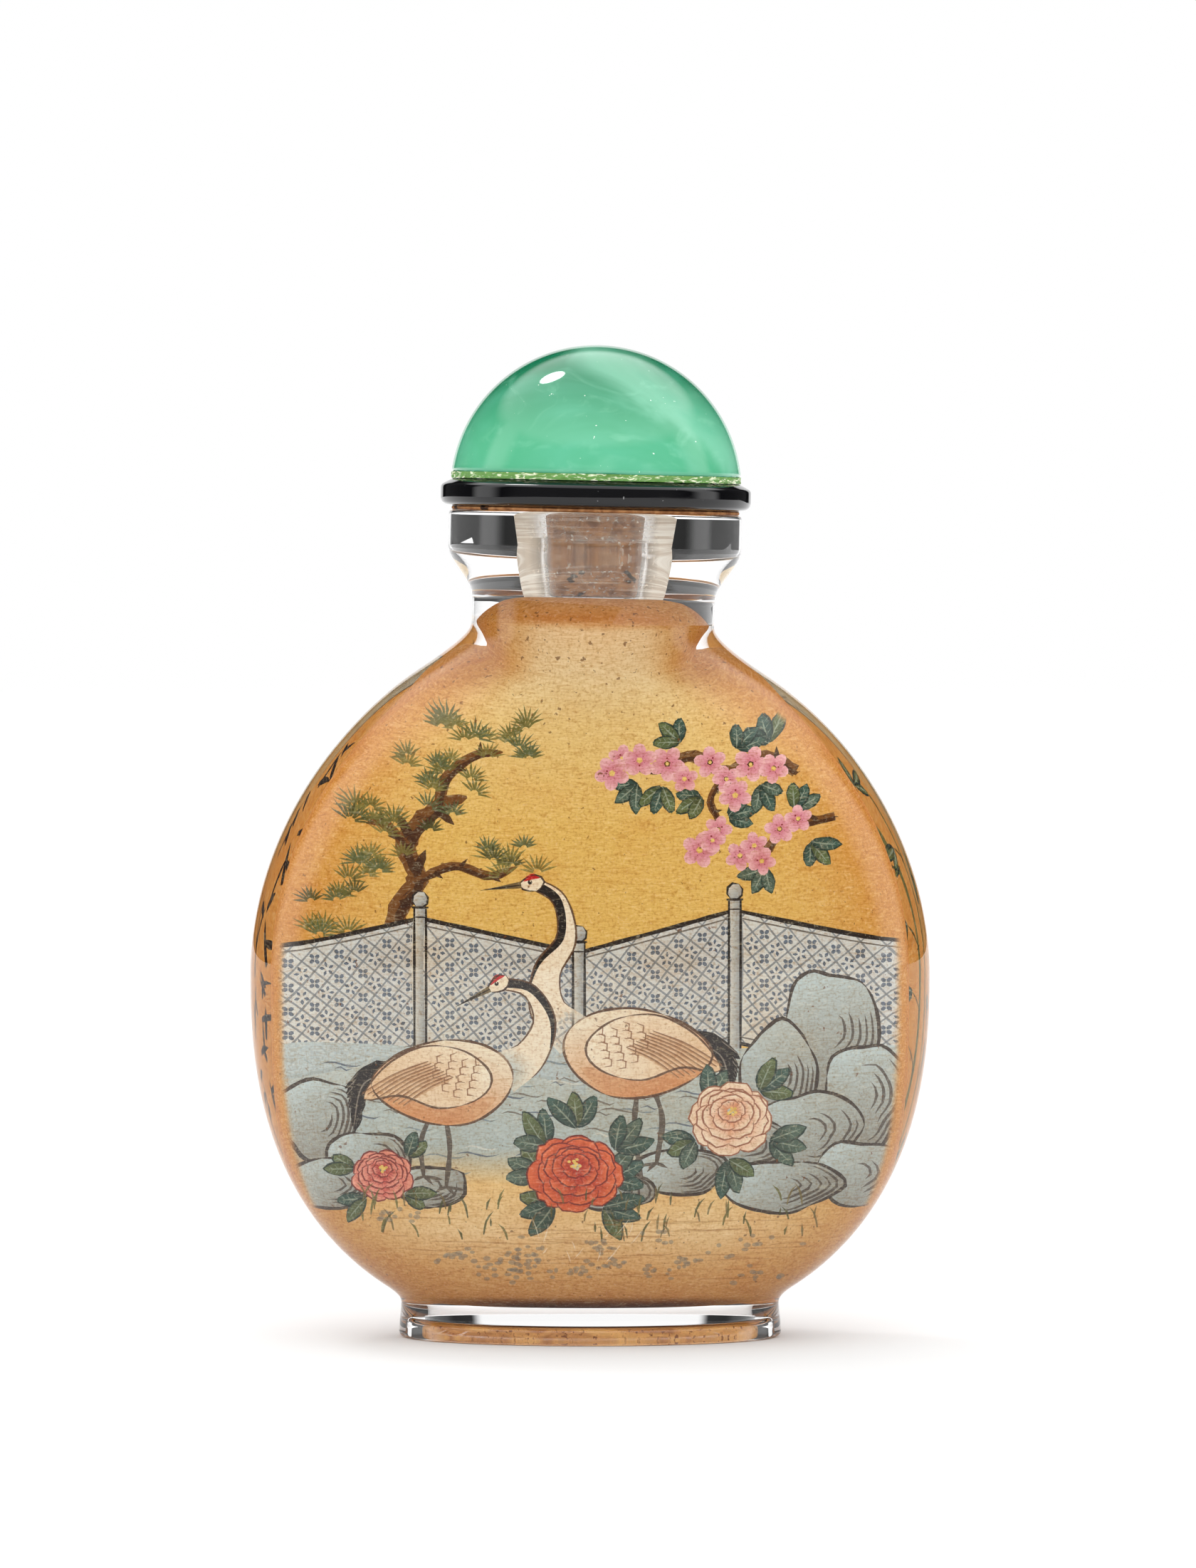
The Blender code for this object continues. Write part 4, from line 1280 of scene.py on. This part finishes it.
# Painted highlight: a soft, lighter diagonal streak across the dome.
painted_streak = (across * 110 + upwards * 150 + swirl * 1.1 - 11.1).step(0.1, 0.5) * (
    (across * 110 + upwards * 150 + swirl * 1.1 - 11.1).step(1.0, 0.55))
rough_spots = jade.noise(spot, (900, 900, 900), 3.0)
# Painted light: lighter low down, where light shines through the glass, and darker at the top.
deep = jade.mix(upwards.step(0.066, 0.0735), colour(78, 160, 122), colour(10, 108, 72))
clouds_and_painted_light = jade.mix(swirl.step(0.35, 0.7) * 0.4, deep, colour(98, 176, 148))
clouds_and_painted_light = jade.mix(wisps.step(0.5, 0.78) * 0.28, clouds_and_painted_light, colour(132, 194, 166))
clouds_and_painted_light = jade.mix(painted_streak * 0.35, clouds_and_painted_light, colour(146, 204, 178))
dust = jade.noise(spot, (2300, 2300, 2300), 2.0)
clouds_and_painted_light = jade.mix(dust.step(0.74, 0.77) * 0.7, clouds_and_painted_light, colour(226, 240, 228))
jade.wear(Base_Color=clouds_and_painted_light, Roughness=rough_spots.step(0.6, 0.75) * 0.06 + 0.03)
cabochon = as_piece("dome_cabochon", loft(list(dome_rings()), 144), jade.material)
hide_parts("stopper_dome")


# The glue between the dome and the collar: a yellowish seam, squeezed out and crumbled at its edge.
glue_levels = np.linspace(COLLAR_TOP + 0.01 * MM, DOME_FOOT + 0.2 * MM, 9)
seam_radius = DOME_RADIUS - 0.16 * MM
glue_rings = [ring(seam_radius, seam_radius, height) for height in glue_levels]
bead = loft(glue_rings, 420, False)
for vert in bead.verts:
    outward = Vector((vert.co.x, vert.co.y, 0)).normalized()
    crumbs = noise.fractal(vert.co * 2600, 1.0, 2.0, 4) * 0.10 + noise.noise(vert.co * 420) * 0.06
    vert.co += outward * crumbs * MM
glue = Finish("glue", Roughness=0.5, Subsurface_Weight=0.2, Subsurface_Scale=0.0005)
spot = glue.place()
crumbs = glue.noise(spot, (1500, 1500, 5600), 4.0, 1.0)
glue.wear(Base_Color=glue.mix(crumbs.step(0.52, 0.64), colour(92, 140, 62), colour(214, 220, 188)))
as_piece("glue_seam", bead, glue.material, 180)

# The table and the light: a white sweep in a studio with soft boxes at both sides and above, and
# dark cloths beside the backdrop, which give the clear glass its grey edges.
CAMERA_DISTANCE = 600 * MM
CAMERA_HEIGHT = 63 * MM
AIM = Vector((0.6 * MM, 0, 41.6 * MM))
PIXELS_HIGH = 2202
PIXELS_PER_MM = 18.7
FLOOR_SIZE = 4.0

sweep = bmesh.new()
bmesh.ops.create_grid(sweep, x_segments=1, y_segments=1, size=FLOOR_SIZE / 2)
floor_mesh = bpy.data.meshes.new("floor")
sweep.to_mesh(floor_mesh)
sweep.free()
floor = bpy.data.objects.new("floor", floor_mesh)
bpy.context.scene.collection.objects.link(floor)
white = Finish("sweep", Base_Color=(0.6, 0.6, 0.6, 1), Roughness=1.0, Specular_IOR_Level=0.0)
floor.data.materials.append(white.material)


class Studio(Finish):
    """The world's nodes, with the same calls as a material's."""

    def __init__(self, name):
        self.world = bpy.data.worlds.new(name)
        self.world.use_nodes = True
        self.tree = self.world.node_tree
        self.shader = self.tree.nodes["Background"]


studio = Studio("studio")
bpy.context.scene.world = studio.world
direction = studio.node("TexCoord", {}, {}, "Generated")
across, away, up = (studio.node("SeparateXYZ", {}, {"Vector": direction}, axis) for axis in "XYZ")
backdrop = away.step(0.925, 0.945)
cloths = away.step(0.885, 0.84) * 0.05 + 0.015
boxes = away.step(0.3, 0.12) * away.step(-0.3, -0.05) * 1.6
overhead = up.step(0.5, 0.66) * 1.7
ahead = away.step(-0.2, -0.6) * 0.16
lamp = studio.node("VectorMath", {"operation": "DOT_PRODUCT"}, {0: direction, 1: (-0.331, 0.381, 0.863)},
                   "Value")
mirrored = (cloths + backdrop + ahead).maths("MAXIMUM", boxes).maths("MAXIMUM", overhead)
mirrored = mirrored + lamp.step(0.9940, 0.9952) * 14
fill = 1.95 + up * 0.25 - away * 0.2
scattered = studio.node("LightPath", {}, {}, "Diffuse Depth").maths("MINIMUM", 1)
lit = fill * scattered + mirrored * (1 - scattered)
seen = studio.node("LightPath", {}, {}, "Is Camera Ray")
studio.wear(Color=(1, 1, 1, 1), Strength=lit * (1 - seen) + seen)

eye = Vector((0, -CAMERA_DISTANCE, CAMERA_HEIGHT))
camera = bpy.data.objects.new("camera", bpy.data.cameras.new("camera"))
bpy.context.scene.collection.objects.link(camera)
camera.location = eye
camera.rotation_euler = (AIM - eye).to_track_quat("-Z", "Y").to_euler()
camera.data.sensor_width = 36
camera.data.lens = 36 * PIXELS_PER_MM * (CAMERA_DISTANCE / MM) / PIXELS_HIGH
camera.data.clip_start = 0.01
bpy.context.scene.camera = camera
bpy.context.scene.view_settings.view_transform = "Standard"
